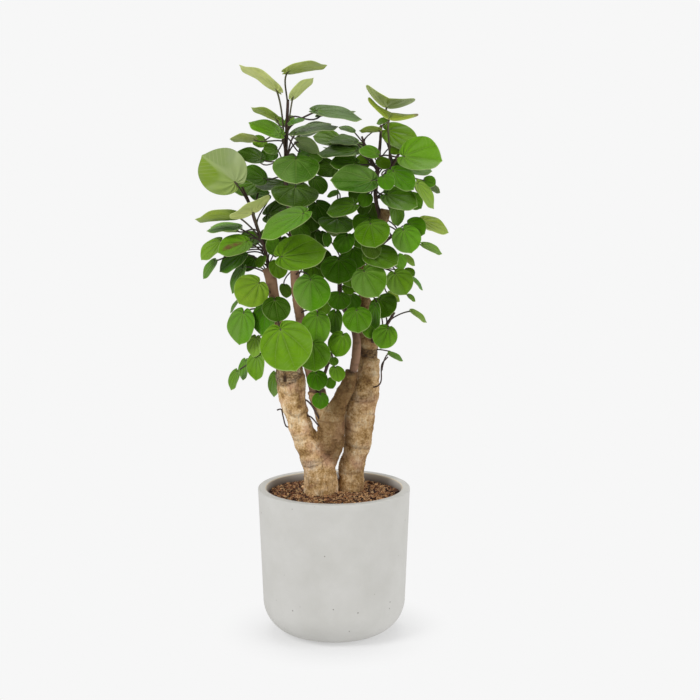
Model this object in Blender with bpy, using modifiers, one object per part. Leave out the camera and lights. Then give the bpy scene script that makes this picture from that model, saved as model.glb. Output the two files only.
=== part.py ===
"""Potted aralia: a shield-leaved aralia on two thick cut trunks, in a round concrete pot.

Units are metres and +Z is up. The pot's axis is the Z axis and its flat base lies at z = 0.
Tables of places and widths are in millimetres. A place is read on the plane y = 0 as it is seen
from EYE, and then moved along that sight line to its own depth, which is negative in front.
"""

import math
import random
from collections import namedtuple

import bmesh
import bpy
from mathutils import Vector
from mathutils.bvhtree import BVHTree

MM = 0.001
GAP = 0.35 * MM

# Pot
RIM_RADIUS = 125.0 * MM
POT_HEIGHT = 243.0 * MM
WALL = 13.7 * MM
LOW_RADIUS = 117.6 * MM
BASE_ROUNDING = 56.0 * MM
FLOOR = 16.0 * MM
RIM_EDGE = 2.5 * MM
POT_STEPS = 36
INNER_ARC_STEPS = 3

# Soil
SOIL_DEPTH = 15.0 * MM
SOIL_MOUND = 3.0 * MM
SOIL_EDGE = 1.0 * MM
SOIL_BUMP = 1.4 * MM
SOIL_RINGS = (0.0, 0.4, 0.75)

# The point that all places in the tables are read from
EYE = Vector((0.0263, -2.5, 0.860))

# Roundness of the wood and the stems
WOOD_ROUNDNESS = 5
STEM_ROUNDNESS = 1

# Blades: sizes are shares of a leaf's width unless they are in millimetres
BLADE = 0.9 * MM
LENGTH_SHARE = 0.95
NOTCH_SHARE = 0.32
LOBE_ANGLE = math.radians(168.0)
ROUND_UP = 1.025
RIM_POINTS = ((50.0, 10), (30.0, 8), (0.0, 6))
CUP = 0.18
DROOP = 0.07
WAVE = 0.006
WAVES = 5

# Leaf stalks
STALK = 0.95
STALK_SHARE = 0.006
STALK_SHARES = (0.0, 0.36, 0.86)
STALK_TAPER = (1.5, 1.25, 1.2, 0.3)
STALK_SIDES = 3
SUNK = 0.10

# Search for a place where a leaf and its stalk cross nothing
SPARE = 1.1 * MM
BALL_SPARE = 4.0 * MM
WOOD_SIDES = 10
DEPTH_STEPS = 12
DEPTH_STEP = 6.0
ROOT_SPACING = 9.0 * MM
ROOTS_BELOW = 3
ROOT_TRIES = 9

# Leaves of the hidden side
BACK_FROM = 46.0
BACK_SHARE = 0.80
BACK_DEPTH = (50.0, 110.0)
SEED = 11

Leaf = namedtuple("Leaf", "x z depth width clock pitch roll stalk fold", defaults=(0, 0))
Placed = namedtuple("Placed", "node kind centre reach tree")
Blade = namedtuple("Blade", "middle base midrib normal rim")

# Wood: x, z, depth and radius at each point, from the foot up
LEFT_TRUNK = [
    (-21, 150, 8, 26.5), (-21, 232, 8, 27.5), (-22, 262, 8, 27), (-27, 284, 8, 25.5), (-37, 303, 8, 23),
    (-46, 322, 8, 21), (-54, 342, 8, 19.5), (-60, 362, 8, 19.5), (-66, 382, 8, 20.5),
    (-69, 402, 8, 22), (-71, 424, 8, 24), (-73, 443, 8, 22.5)]
MIDDLE_LIMB = [
    (-12, 268, 14, 12), (-9, 292, 10, 17), (-6, 315, 6, 22.5), (-5, 338, 4, 22.5), (-5, 358, 4, 20.5),
    (-9, 372, 6, 13)]
LEFT_FORK = [(-12, 348, 6, 14), (-19, 368, 8, 13), (-24, 386, 10, 14), (-28, 404, 10, 15.5)]
RIGHT_FORK = [
    (-3, 350, 6, 15), (4, 370, 4, 15.5), (12, 390, 1, 13.5), (22, 410, 0, 12.5), (29, 436, 1, 10)]
RIGHT_TRUNK = [
    (27.5, 150, 26, 21.5), (27.5, 236, 26, 22), (29.5, 262, 26, 20.5), (32, 284, 26, 20.5), (36, 304, 26, 21),
    (39, 322, 26, 23), (41, 342, 26, 24.5), (42, 362, 26, 25.5), (45, 384, 26, 26), (51, 404, 26, 24),
    (55, 424, 26, 19.5), (58, 456, 26, 17.5)]
NECK = [
    (57, 440, 24, 13), (56, 466, 24, 16), (56, 488, 24, 16.5), (54, 506, 24, 13), (52, 528, 24, 11.5),
    (51, 548, 24, 11), (48, 557, 24, 7.5), (47, 578, 24, 7.5), (44, 612, 24, 7.5), (49, 645, 22, 8),
    (64, 664, 20, 9), (78, 681, 19, 10), (84, 698, 18, 9.5)]
BARE_STALK = [
    (-66, 343, 8, 1.2), (-78, 344, 4, 1.2), (-83, 360, 2, 1.2), (-86, 372, 2, 1.2), (-93, 371, 0, 1.2)]
TWIG = [(-46, 362, 2, 1.3), (-37, 359, -4, 1.3), (-25, 345, -6, 1.3), (-14, 336, 2, 1.3)]
PALE_TWIG = [
    (-50, 389, 8, 1.5), (-43, 386, 0, 1.5), (-35, 377, -4, 1.5), (-27, 362, -5, 1.5), (-17, 346, 4, 1.5)]
SIDE_STALK = [(60, 470, 22, 1.1), (74, 471, 16, 1.1), (92, 468, 14, 1.0)]

# Leafy stems: x, z, depth and radius at each point, from the root up
STEM_LEFT = [
    [(-84, 428, 8, 6.5), (-88, 470, 8, 8), (-90, 503, 6, 8), (-92, 540, 4, 8), (-97, 560, 4, 8.5),
     (-102, 590, 4, 9), (-108, 604, 4, 8)],
    [(-102, 588, 4, 3), (-106, 612, 4, 3), (-112, 640, 4, 2.7), (-120, 662, 4, 2.6), (-127, 682, 6, 2.4),
     (-134, 706, 8, 2.2), (-146, 734, 8, 1.9)]]
STEM_CENTRE = [
    [(-30, 386, 10, 6), (-35, 411, 9, 6.5), (-40, 436, 8, 7), (-47, 470, 6, 7.5), (-54, 520, 4, 7.5),
     (-60, 560, 4, 7.5), (-63, 600, 4, 7), (-66, 640, 6, 5), (-70, 690, 8, 4), (-76, 740, 8, 3.4),
     (-76, 785, 6, 3), (-74, 830, 4, 2.6), (-72, 872, 2, 2.2)]]
SPRIG_MIDDLE = [[(-20, 398, 6, 3.5), (-18, 420, -6, 2.8), (-10, 446, -14, 2.4), (-2, 470, -16, 2.0)]]
STEM_MIDDLE = [
    [(28, 422, 1, 5), (34, 448, -2, 6.8), (37, 472, -2, 7), (36, 494, 4, 6), (26, 522, 16, 4.6), (12, 550, 22, 4),
     (10, 590, 24, 3.5), (15, 640, 24, 3.2), (12, 690, 22, 2.8), (6, 705, 20, 2.2)]]
SPRIG_RIGHT = [[(58, 480, 18, 3), (72, 494, -2, 2.6), (86, 512, -10, 2.4), (98, 532, -12, 2.1)]]
STEM_RIGHT = [
    [(45, 614, 21, 3.6), (58, 612, 6, 3.2), (74, 606, -2, 2.8), (90, 610, -6, 2.4)],
    [(56, 613, 8, 2.8), (72, 636, -2, 2.7), (92, 654, -6, 2.4), (112, 664, -8, 2.0)]]
STEM_TOP = [
    [(76, 682, 18, 3.4), (69, 706, 14, 3.2), (67, 724, 12, 3.2), (69, 742, 10, 3.0),
     (71, 770, 8, 2.8), (74, 800, 6, 2.4), (76, 832, 4, 2.0)],
    [(69, 740, 10, 2.6), (84, 756, 6, 2.5), (97, 774, 2, 2.2), (106, 790, 0, 1.9)],
    [(71, 758, 9, 2.4), (60, 778, 8, 2.2), (51, 798, 8, 1.9), (45, 814, 6, 1.6)]]
SHOOT_RIGHT = [
    [(58, 408, 18, 1.2), (71, 411, 0, 1.2), (77, 420, -4, 1.1), (78, 446, -4, 1.1), (88, 459, -6, 1.0)]]

# Leaves: x, z, depth, width, clock of the tip, pitch to the front, roll of the upper face, and where
# it is read, the stalk's length and the rise of both halves from the midrib
LEAVES_LEFT = [
    Leaf(-77, 478, -100, 83, 160, 8, 0), Leaf(-177, 758, -30, 80, 310, 5, 162),
    Leaf(-133, 700, -40, 71, 332, 72, 180), Leaf(-180, 686, -15, 80, 268, 0, 103),
    Leaf(-173, 668, 10, 60, 266, 0, 76), Leaf(-158, 640, -25, 58, 252, 10, 55),
    Leaf(-194, 636, 0, 52, 228, 10, 62), Leaf(-199, 604, 12, 40, 216, 0, 69),
    Leaf(-161, 616, 10, 56, 235, 0, 60), Leaf(-154, 588, 0, 53, 205, 0, 70),
    Leaf(-133, 567, -35, 57, 225, 20, 10), Leaf(-160, 543, 15, 27, 215, 0, 78),
    Leaf(-117, 615, 22, 24, 200, 20, 50), Leaf(-134, 650, 20, 40, 240, 20, 45),
    Leaf(-98, 640, -16, 30, 330, 30, 30), Leaf(-149, 511, -10, 62, 190, 0, 45),
    Leaf(-112, 522, -30, 58, 187, 0, 50), Leaf(-93, 538, -20, 46, 170, 25, 10),
    Leaf(-128, 478, 0, 38, 190, 0, 50), Leaf(-126, 445, -10, 48, 185, 0, 53),
    Leaf(-146, 440, 10, 38, 190, 0, 65), Leaf(-162, 423, 0, 38, 200, 0, 65),
    Leaf(-97, 416, 14, 45, 186, 0, 66)]
LEAVES_CENTRE = [
    Leaf(-60, 764, -70, 73, 180, 54, 0), Leaf(-75, 677, -95, 90, 242, 5, 68),
    Leaf(-56, 627, -80, 84, 80, 0, 49), Leaf(-37, 565, -75, 61, 178, 10, 15, fold=0.15),
    Leaf(-48, 920, -5, 74, 79, 0, 103), Leaf(-112, 903, -10, 82, 305, 0, 102, stalk=125),
    Leaf(-52, 888, -10, 52, 46, 0, 108, stalk=105), Leaf(-106, 849, 0, 51, 296, 0, 105),
    Leaf(-104, 825, -15, 62, 292, 0, 68), Leaf(-60, 837, -10, 30, 70, 0, 75),
    Leaf(-84, 837, 14, 24, 300, 20, 60), Leaf(-141, 810, 0, 46, 274, 0, 108),
    Leaf(-117, 806, 15, 26, 250, 30, 30), Leaf(-131, 783, -10, 48, 285, 0, 60),
    Leaf(-99, 794, 5, 26, 270, 20, 45), Leaf(-125, 752, 10, 46, 290, 10, 50),
    Leaf(-97, 737, 25, 58, 268, 20, 70), Leaf(-62, 722, -18, 76, 185, 62, 0),
    Leaf(-34, 824, -20, 80, 79, 0, 80), Leaf(-43, 800, -5, 44, 112, 0, 120),
    Leaf(1, 850, -25, 86, 98, 0, 77), Leaf(-80, 696, -10, 79, 75, 10, 60),
    Leaf(-78, 568, 18, 26, 170, 20, 40), Leaf(-28, 508, -55, 57, 185, 0, 35)]
LEAVES_SPRIG = [
    Leaf(-33, 463, -75, 54, 175, 15, 10), Leaf(-27, 421, -45, 34, 170, 10, 0),
    Leaf(5, 432, -55, 29, 165, 20, 30), Leaf(-22, 387, -35, 28, 178, 5, 0),
    Leaf(-6, 416, -30, 20, 150, 10, 20), Leaf(10, 481, -60, 43, 200, 0, 31),
    Leaf(0, 452, -20, 16, 170, 20, 20)]
LEAVES_MIDDLE = [
    Leaf(38, 521, -75, 47, 175, 28, 0), Leaf(2, 517, -40, 43, 185, 0, 52),
    Leaf(17, 645, -20, 38, 200, 20, 30), Leaf(8, 603, -25, 58, 180, 38, 0),
    Leaf(-11, 650, 0, 24, 170, 0, 50), Leaf(5, 675, -10, 60, 185, 65, 0),
    Leaf(16, 701, -45, 54, 255, 0, 58), Leaf(0, 723, 0, 22, 250, 0, 65), Leaf(8, 552, 0, 39, 190, 40, 0),
    Leaf(24, 570, 5, 22, 160, 30, 20), Leaf(-12, 764, 0, 42, 265, 20, 40),
    Leaf(67, 528, -40, 45, 182, 0, 63), Leaf(33, 622, 2, 44, 170, 30, 10)]
LEAVES_SPRIG_RIGHT = [
    Leaf(83, 493, -50, 41, 200, 10, 10), Leaf(57, 503, -30, 28, 170, 20, 30),
    Leaf(136, 527, -10, 36, 125, 0, 75), Leaf(80, 543, -30, 48, 150, 40, 0)]
LEAVES_RIGHT = [
    Leaf(58, 583, -85, 57, 150, 20, 0, fold=0.15), Leaf(75, 622, -60, 60, 110, 20, 50),
    Leaf(62, 661, -70, 57, 168, 40, 0), Leaf(54, 673, -40, 50, 200, 40, 0),
    Leaf(117, 651, -50, 47, 160, 15, 10), Leaf(106, 582, -40, 46, 150, 10, 20),
    Leaf(130, 669, -35, 38, 120, 20, 20), Leaf(159, 673, -10, 54, 112, 0, 66),
    Leaf(156, 636, 0, 40, 114, 0, 72), Leaf(107, 615, -20, 28, 160, 0, 45),
    Leaf(121, 617, 0, 26, 130, 0, 65), Leaf(121, 597, 5, 22, 120, 20, 45),
    Leaf(134, 580, 10, 30, 138, 0, 78), Leaf(96, 558, -15, 26, 125, 0, 60),
    Leaf(125, 556, 4, 18, 130, 0, 65)]
LEAVES_TOP = [
    Leaf(36, 745, -75, 77, 272, 5, 56), Leaf(104, 715, -55, 62, 108, 10, 54),
    Leaf(136, 780, -38, 72, 95, 10, 42, fold=0.25), Leaf(131, 765, 8, 52, 100, 0, 60),
    Leaf(106, 812, -20, 72, 116, 0, 57), Leaf(86, 866, -20, 82, 16, 75, 180, stalk=105, fold=0.35),
    Leaf(90, 846, -5, 84, 18, -79, 0, stalk=95, fold=0.3), Leaf(12, 790, -30, 73, 268, 0, 74),
    Leaf(18, 807, 10, 50, 275, 0, 72), Leaf(38, 798, 25, 38, 280, 0, 68), Leaf(-9, 811, 15, 46, 280, 0, 56),
    Leaf(20, 772, -25, 50, 270, 10, 60), Leaf(47, 774, 0, 26, 280, 20, 30),
    Leaf(58, 789, -38, 34, 285, 0, 55), Leaf(23, 825, 0, 29, 287, 0, 72),
    Leaf(60, 824, -15, 37, 270, 0, 106), Leaf(108, 748, -30, 52, 130, 10, 49),
    Leaf(84, 742, -15, 28, 150, 20, 20), Leaf(97, 793, -10, 20, 120, 20, 30),
    Leaf(145, 724, -25, 56, 145, 0, 70), Leaf(152, 742, 0, 24, 110, 20, 30),
    Leaf(161, 731, 5, 22, 120, 0, 120), Leaf(101, 690, -20, 36, 170, 0, 51),
    Leaf(51, 714, -35, 26, 200, 20, 20), Leaf(78, 838, 12, 20, 250, 0, 60)]
LEAVES_SHOOT = [
    Leaf(99, 460, -10, 30, 116, 0, 72)]

TRUNK_LEFT = [LEFT_TRUNK, MIDDLE_LIMB, LEFT_FORK, RIGHT_FORK]
TRUNK_RIGHT = [RIGHT_TRUNK, NECK]
HOLDERS = {
    "stem_left": "trunk_left", "stem_centre": "trunk_left", "sprig_middle": "trunk_left",
    "stem_middle": "trunk_left", "stem_top": "trunk_right", "stem_right": "trunk_right",
    "sprig_right": "trunk_right", "shoot_right": "trunk_right"}
SPRAYS = {
    "stem_left": (STEM_LEFT, LEAVES_LEFT),
    "stem_centre": (STEM_CENTRE, LEAVES_CENTRE),
    "stem_top": (STEM_TOP, LEAVES_TOP),
    "stem_right": (STEM_RIGHT, LEAVES_RIGHT),
    "stem_middle": (STEM_MIDDLE, LEAVES_MIDDLE),
    "sprig_middle": (SPRIG_MIDDLE, LEAVES_SPRIG),
    "sprig_right": (SPRIG_RIGHT, LEAVES_SPRIG_RIGHT),
    "shoot_right": (SHOOT_RIGHT, LEAVES_SHOOT),
}


def clear_scene():
    """Remove every object that the open file holds."""
    for item in list(bpy.data.objects):
        bpy.data.objects.remove(item, do_unlink=True)


def make_collection(name):
    """Make a collection under the scene's own."""
    collection = bpy.data.collections.new(name)
    bpy.context.scene.collection.children.link(collection)
    return collection


def make_material(name, colour, roughness):
    """Make a Principled BSDF material of one colour."""
    material = bpy.data.materials.new(name)
    material.use_nodes = True
    shader = material.node_tree.nodes["Principled BSDF"]
    shader.inputs["Base Color"].default_value = (*colour, 1.0)
    shader.inputs["Roughness"].default_value = roughness
    shader.inputs["Metallic"].default_value = 0.0
    return material


def add_object(name, mesh, collection, material=None):
    """Put a mesh in the scene as a named object."""
    item = bpy.data.objects.new(name, mesh)
    collection.objects.link(item)
    if material:
        mesh.materials.clear()
        mesh.materials.append(material)
    return item


def evaluated_mesh(item):
    """Return a mesh of the object as its modifiers or its curve leave it."""
    bpy.context.view_layer.update()
    graph = bpy.context.evaluated_depsgraph_get()
    mesh = bpy.data.meshes.new_from_object(item.evaluated_get(graph))
    mesh.transform(item.matrix_world)
    return mesh


def in_space(x, z, depth):
    """Move a place read on the plane y = 0 along its sight line to its depth; all in millimetres."""
    read = Vector((x * MM, 0.0, z * MM))
    return EYE + (read - EYE) * (1.0 - depth * MM / EYE.y)


def stem_points(rows):
    """Turn table rows into places in space with their radii in millimetres."""
    return [(in_space(x, z, depth), radius) for x, z, depth, radius in rows]


def tube_mesh(name, points, bevel_resolution, grow=0.0, section=None):
    """Sweep a round section, or a given one, along the points; the ends are closed."""
    curve = bpy.data.curves.new(name, "CURVE")
    curve.dimensions = "3D"
    curve.bevel_depth = MM
    curve.bevel_resolution = bevel_resolution
    curve.use_fill_caps = True
    if section:
        curve.bevel_mode = "OBJECT"
        curve.bevel_object = section
    spline = curve.splines.new("POLY")
    spline.points.add(len(points) - 1)
    for point, (place, radius) in zip(spline.points, points):
        point.co = (*place, 1.0)
        point.radius = radius + grow
    guide = bpy.data.objects.new(name, curve)
    bpy.context.scene.collection.objects.link(guide)
    mesh = evaluated_mesh(guide)
    bpy.data.objects.remove(guide, do_unlink=True)
    weld(mesh)
    return mesh


def socket_mesh(rows, bevel_resolution):
    """Make the cutter of the hole that a stem's lowest stretch stands in, a gap larger all round."""
    points = stem_points(rows[:3])
    (foot, radius), (above, _) = points[:2]
    points[0] = (foot - (above - foot).normalized() * GAP, radius)
    return tube_mesh("socket", points, bevel_resolution, GAP / MM)


def make_section(name, sides):
    """Make a closed flat curve, one millimetre in radius, as the section of thin stalks."""
    curve = bpy.data.curves.new(name, "CURVE")
    curve.dimensions = "2D"
    spline = curve.splines.new("POLY")
    spline.points.add(sides - 1)
    spline.use_cyclic_u = True
    for index, point in enumerate(spline.points):
        angle = math.tau * index / sides
        point.co = (MM * math.cos(angle), MM * math.sin(angle), 0.0, 1.0)
    section = bpy.data.objects.new(name, curve)
    bpy.context.scene.collection.objects.link(section)
    return section


def weld(mesh):
    """Join the loose caps of a swept curve to its sides."""
    work = bmesh.new()
    work.from_mesh(mesh)
    bmesh.ops.remove_doubles(work, verts=work.verts, dist=1e-6)
    bmesh.ops.recalc_face_normals(work, faces=work.faces)
    work.to_mesh(mesh)
    work.free()


def keep_main_body(mesh):
    """Keep the largest connected body, so loose scraps go and sealed hollows fill."""
    work = bmesh.new()
    work.from_mesh(mesh)
    bmesh.ops.triangulate(work, faces=work.faces)
    bodies = []
    unseen = set(work.verts)
    while unseen:
        front = [unseen.pop()]
        body = list(front)
        while front:
            for edge in front.pop().link_edges:
                for vertex in edge.verts:
                    if vertex in unseen:
                        unseen.remove(vertex)
                        front.append(vertex)
                        body.append(vertex)
        bodies.append(body)
    bodies.sort(key=len)
    for body in bodies[:-1]:
        bmesh.ops.delete(work, geom=body, context="VERTS")
    work.to_mesh(mesh)
    work.free()


def unite(name, meshes, solver="EXACT"):
    """Fuse closed meshes into one body."""
    group = make_collection(name + "_repeats")
    first = add_object(name + "_first", meshes[0], bpy.context.scene.collection)
    for number, mesh in enumerate(meshes[1:]):
        add_object(f"{name}_repeat_{number}", mesh, group)
    join = first.modifiers.new("join", "BOOLEAN")
    join.operation = "UNION"
    join.operand_type = "COLLECTION"
    join.collection = group
    join.solver = solver
    mesh = evaluated_mesh(first)
    for item in [first, *group.objects]:
        bpy.data.objects.remove(item, do_unlink=True)
    bpy.data.collections.remove(group)
    keep_main_body(mesh)
    return mesh


def turned_mesh(name, profile, steps):
    """Turn a profile of (radius, height) points about the Z axis."""
    mesh = bpy.data.meshes.new(name)
    edges = [(index, index + 1) for index in range(len(profile) - 1)]
    mesh.from_pydata([(radius, 0.0, height) for radius, height in profile], edges, [])
    item = add_object(name, mesh, bpy.context.scene.collection)
    screw = item.modifiers.new("turn", "SCREW")
    screw.axis = "Z"
    screw.steps = steps
    screw.render_steps = steps
    screw.use_merge_vertices = True
    screw.merge_threshold = 0.0001
    result = evaluated_mesh(item)
    bpy.data.objects.remove(item, do_unlink=True)
    return result


def arc(centre, radius, start, end, steps):
    """Points of (radius, height) on a round stretch of a profile; angles in degrees."""
    points = []
    for step in range(steps + 1):
        angle = math.radians(start + (end - start) * step / steps)
        points.append((centre[0] + radius * math.cos(angle), centre[1] + radius * math.sin(angle)))
    return points


def inner_radius(height):
    """Radius of the pot's inner wall at a height above the base rounding."""
    share = (height - BASE_ROUNDING) / (POT_HEIGHT - BASE_ROUNDING)
    return LOW_RADIUS + (RIM_RADIUS - LOW_RADIUS) * share - WALL


def pot_profile():
    """Profile of the pot from the middle of its floor up the inside, over the rim and down to its base."""
    rim_inner = (RIM_RADIUS - WALL + RIM_EDGE, POT_HEIGHT - RIM_EDGE)
    rim_outer = (RIM_RADIUS - RIM_EDGE, POT_HEIGHT - RIM_EDGE)
    foot = (LOW_RADIUS - BASE_ROUNDING, BASE_ROUNDING)
    inner_rounding = BASE_ROUNDING - WALL
    inner_foot = (foot[0], FLOOR + inner_rounding)
    return [
        (0.0, FLOOR),
        *arc(inner_foot, inner_rounding, -90, 0, INNER_ARC_STEPS),
        *arc(rim_inner, RIM_EDGE, 180, 90, 2),
        *arc(rim_outer, RIM_EDGE, 90, 0, 2),
        *arc(foot, BASE_ROUNDING, 0, -90, 6),
        (0.0, 0.0)]


def make_pot(collection):
    """Turn the pot: a shell with a flat rim, a rounded foot and a flat base."""
    mesh = turned_mesh("pot", pot_profile(), POT_STEPS)
    pot = add_object("pot", mesh, collection, make_material("concrete", (0.60, 0.60, 0.58), 0.85))
    mesh.shade_smooth()
    mesh.set_sharp_from_angle(angle=math.radians(40))
    return pot


def soil_mesh():
    """Turn the soil to the pot's inside, a gap clear of it, with small lumps on top."""
    top = POT_HEIGHT - SOIL_DEPTH
    inner_rounding = BASE_ROUNDING - WALL - GAP
    foot = (LOW_RADIUS - BASE_ROUNDING, FLOOR + BASE_ROUNDING - WALL)
    edge = inner_radius(top) - GAP
    profile = [(edge * share, top + SOIL_MOUND * (1 - share) ** 2) for share in SOIL_RINGS]
    profile.append((edge, top - SOIL_EDGE))
    profile += arc(foot, inner_rounding, 0, -90, INNER_ARC_STEPS)
    profile.append((0.0, FLOOR + GAP))
    mesh = turned_mesh("soil", profile, POT_STEPS)
    for vertex in mesh.vertices:
        place = vertex.co
        if place.z > top - 0.5 * MM:
            place.z += SOIL_BUMP * math.sin(140 * place.x) * math.cos(170 * place.y)
    return mesh


def cut_by(target, name, meshes, collection):
    """Cut the target by closed meshes, each a cutter of its own."""
    for number, mesh in enumerate(meshes):
        cutter = add_object(f"{name}_{number}", mesh, collection)
        cutter.hide_render = True
        cutter.display_type = "WIRE"
        cut = target.modifiers.new(cutter.name, "BOOLEAN")
        cut.operation = "DIFFERENCE"
        cut.solver = "EXACT"
        cut.object = cutter


def leaf_frame(leaf, centre):
    """Midrib and upper-face normal of a leaf from its angles, as seen from EYE."""
    toward = (EYE - centre).normalized()
    right = Vector((0.0, 0.0, 1.0)).cross(toward).normalized()
    up = toward.cross(right)
    clock = math.radians(leaf.clock)
    pitch = math.radians(leaf.pitch)
    roll = math.radians(leaf.roll)
    flat = right * math.sin(clock) + up * math.cos(clock)
    midrib = flat * math.cos(pitch) + toward * math.sin(pitch)
    facing = (toward - midrib * midrib.dot(toward)).normalized()
    aside = facing.cross(midrib)
    if leaf.clock > 180:
        aside = -aside
    return midrib, facing * math.cos(roll) + aside * math.sin(roll)


def blade_height(along, across, fold):
    """Height of a blade above its flat plane, in leaf widths; along runs from the notch to the tip."""
    ripple = WAVE * math.cos(WAVES * math.atan2(across, along - 0.3)) * (along * along + across * across) * 4
    return CUP * across * across - DROOP * along * along + fold * abs(across) + ripple


def make_blade(leaf, centre):
    """Outline of a round blade with a notch at its base, cupped and waved about its midrib."""
    midrib, normal = leaf_frame(leaf, centre)
    side = midrib.cross(normal)
    width = leaf.width * MM
    base = centre - midrib * width * NOTCH_SHARE
    count = next(points for least, points in RIM_POINTS if leaf.width > least)
    rim = []
    for index in range(count):
        angle = -LOBE_ANGLE + 2 * LOBE_ANGLE * index / (count - 1)
        across = 0.5 * ROUND_UP * math.sin(angle)
        along = 0.5 * ROUND_UP * LENGTH_SHARE * math.cos(angle) + NOTCH_SHARE
        height = blade_height(along, across, leaf.fold)
        rim.append(base + (midrib * along + side * across + normal * height) * width)
    lift = blade_height(NOTCH_SHARE, 0.0, leaf.fold)
    middle = base + (midrib * NOTCH_SHARE + normal * lift) * width
    return Blade(middle, base, midrib, normal, rim)


def blade_mesh(name, blade):
    """Open fan of the blade from its middle, thickened both ways."""
    mesh = bpy.data.meshes.new(name)
    corners = [blade.middle, blade.base, *blade.rim]
    around = list(range(1, len(corners)))
    fan = [(0, far, near) for near, far in zip(around, around[1:] + around[:1])]
    mesh.from_pydata(corners, [], fan)
    if mesh.polygons[0].normal.dot(blade.normal) < 0:
        mesh.flip_normals()
    item = add_object(name, mesh, bpy.context.scene.collection)
    shell = item.modifiers.new("blade", "SOLIDIFY")
    shell.thickness = BLADE
    shell.offset = 0.0
    solid = evaluated_mesh(item)
    bpy.data.objects.remove(item, do_unlink=True)
    return solid


def stalk_radius(leaf):
    """Radius of a leaf stalk in millimetres."""
    return STALK + STALK_SHARE * leaf.width


def stalk_points(root, direction, blade, width):
    """Bend a leaf stalk from its root on a stem to the notch of its blade."""
    end = blade.base + blade.midrib * width * MM * SUNK
    reach = (end - root).length
    leave = root + (direction * 0.5 + (end - root).normalized() * 0.5) * reach * 0.35
    arrive = blade.base - (blade.midrib * 0.65 + blade.normal * 0.45) * reach * 0.33
    points = []
    for share in STALK_SHARES:
        rest = 1.0 - share
        points.append(root * rest ** 3 + leave * 3 * rest * rest * share
                      + arrive * 3 * rest * share * share + blade.base * share ** 3)
    return [*points, end]


def fan_tree(blade):
    """Search tree of the blade with room to spare on both faces."""
    corners = [blade.middle, blade.base, *blade.rim]
    count = len(corners)
    lift = blade.normal * SPARE
    places = [corner + lift for corner in corners] + [corner - lift for corner in corners]
    around = list(range(1, count))
    faces = []
    for near, far in zip(around, around[1:] + around[:1]):
        faces.append((0, far, near))
        faces.append((count, count + near, count + far))
        faces.append((near, far, count + far, count + near))
    return BVHTree.FromPolygons(places, faces)


def rod_tree(points, radii, sides):
    """Search tree of a rod along the points."""
    places = []
    faces = []
    for index, point in enumerate(points):
        ahead = points[min(index + 1, len(points) - 1)] - points[max(index - 1, 0)]
        across = ahead.orthogonal().normalized()
        other = across.cross(ahead).normalized()
        for corner in range(sides):
            angle = math.tau * corner / sides
            places.append(point + (across * math.cos(angle) + other * math.sin(angle)) * radii[index])
        if index:
            for corner in range(sides):
                below = sides * (index - 1)
                beside = (corner + 1) % sides
                faces.append((below + corner, below + beside, below + sides + beside, below + sides + corner))
    return BVHTree.FromPolygons(places, faces)


def enclose(node, kind, points, tree):
    """Record of a placed shape with the ball that holds it."""
    centre = sum(points, Vector()) / len(points)
    reach = max((point - centre).length for point in points) + BALL_SPARE
    return Placed(node, kind, centre, reach, tree)


def is_clear(shape, placed, strict):
    """Whether the shape crosses nothing; within a node stalks may meet, and all may when not strict."""
    for other in placed:
        if other.node == shape.node and (not strict or other.kind == shape.kind == "stalk"):
            continue
        if other.node == shape.node and other.kind == "stem":
            continue
        if (other.centre - shape.centre).length > other.reach + shape.reach:
            continue
        if shape.tree.overlap(other.tree):
            return False
    return True


def stem_roots(stems):
    """Places along the stems where a leaf stalk can grow, each with the stem's direction."""
    roots = []
    for rows in stems:
        points = stem_points(rows)
        for (start, _), (end, _) in zip(points, points[1:]):
            run = end - start
            count = max(1, round(run.length / ROOT_SPACING))
            for index in range(1, count + 1):
                roots.append((start + run * index / count, run.normalized()))
    return roots[ROOTS_BELOW:-1]


def root_cost(root, blade, leaf):
    """How ill a root suits a blade: a stalk rises, and is as long as read or about as its blade."""
    reach = (blade.base - root[0]).length
    ideal = (leaf.stalk or 0.55 * leaf.width + 18) * MM
    return abs(reach - ideal) + 0.6 * max(0.0, root[0].z - blade.base.z) + 0.3 * reach


def grow_leaf(node, leaf, roots, placed):
    """Find a depth and a root at which the leaf and its stalk cross nothing, and record both."""
    shifts = [0.0]
    for step in range(1, DEPTH_STEPS + 1):
        shifts += [step * DEPTH_STEP, -step * DEPTH_STEP]
    for strict in (True, False):
        for shift in shifts:
            centre = in_space(leaf.x, leaf.z, leaf.depth + shift)
            blade = make_blade(leaf, centre)
            blade_shape = enclose(node, "blade", [blade.base, *blade.rim], fan_tree(blade))
            if not is_clear(blade_shape, placed, strict):
                continue
            near = sorted(roots, key=lambda root: root_cost(root, blade, leaf))
            for root, direction in near[:ROOT_TRIES]:
                points = stalk_points(root, direction, blade, leaf.width)
                radius = stalk_radius(leaf) * MM + SPARE
                own = rod_tree(points[:-1], [radius] * (len(points) - 1), STALK_SIDES)
                if strict and own.overlap(blade_shape.tree):
                    continue
                tree = rod_tree(points, [radius] * len(points), STALK_SIDES)
                stalk_shape = enclose(node, "stalk", points, tree)
                if is_clear(stalk_shape, placed, strict):
                    placed += [blade_shape, stalk_shape]
                    return blade, points
    return None


def back_leaves(leaves, draw):
    """Leaves of the hidden side: behind each large leaf in front, a smaller one that faces back."""
    result = []
    for leaf in leaves:
        depth = draw.uniform(*BACK_DEPTH)
        clock = (leaf.clock + draw.uniform(-20, 20)) % 360
        roll = 180 - leaf.roll + draw.uniform(-12, 12)
        if leaf.width > BACK_FROM and leaf.roll <= 90 and leaf.pitch > -60:
            width = leaf.width * BACK_SHARE
            result.append(Leaf(leaf.x, leaf.z, depth, width, clock, -leaf.pitch * 0.5, roll))
    return result


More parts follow.
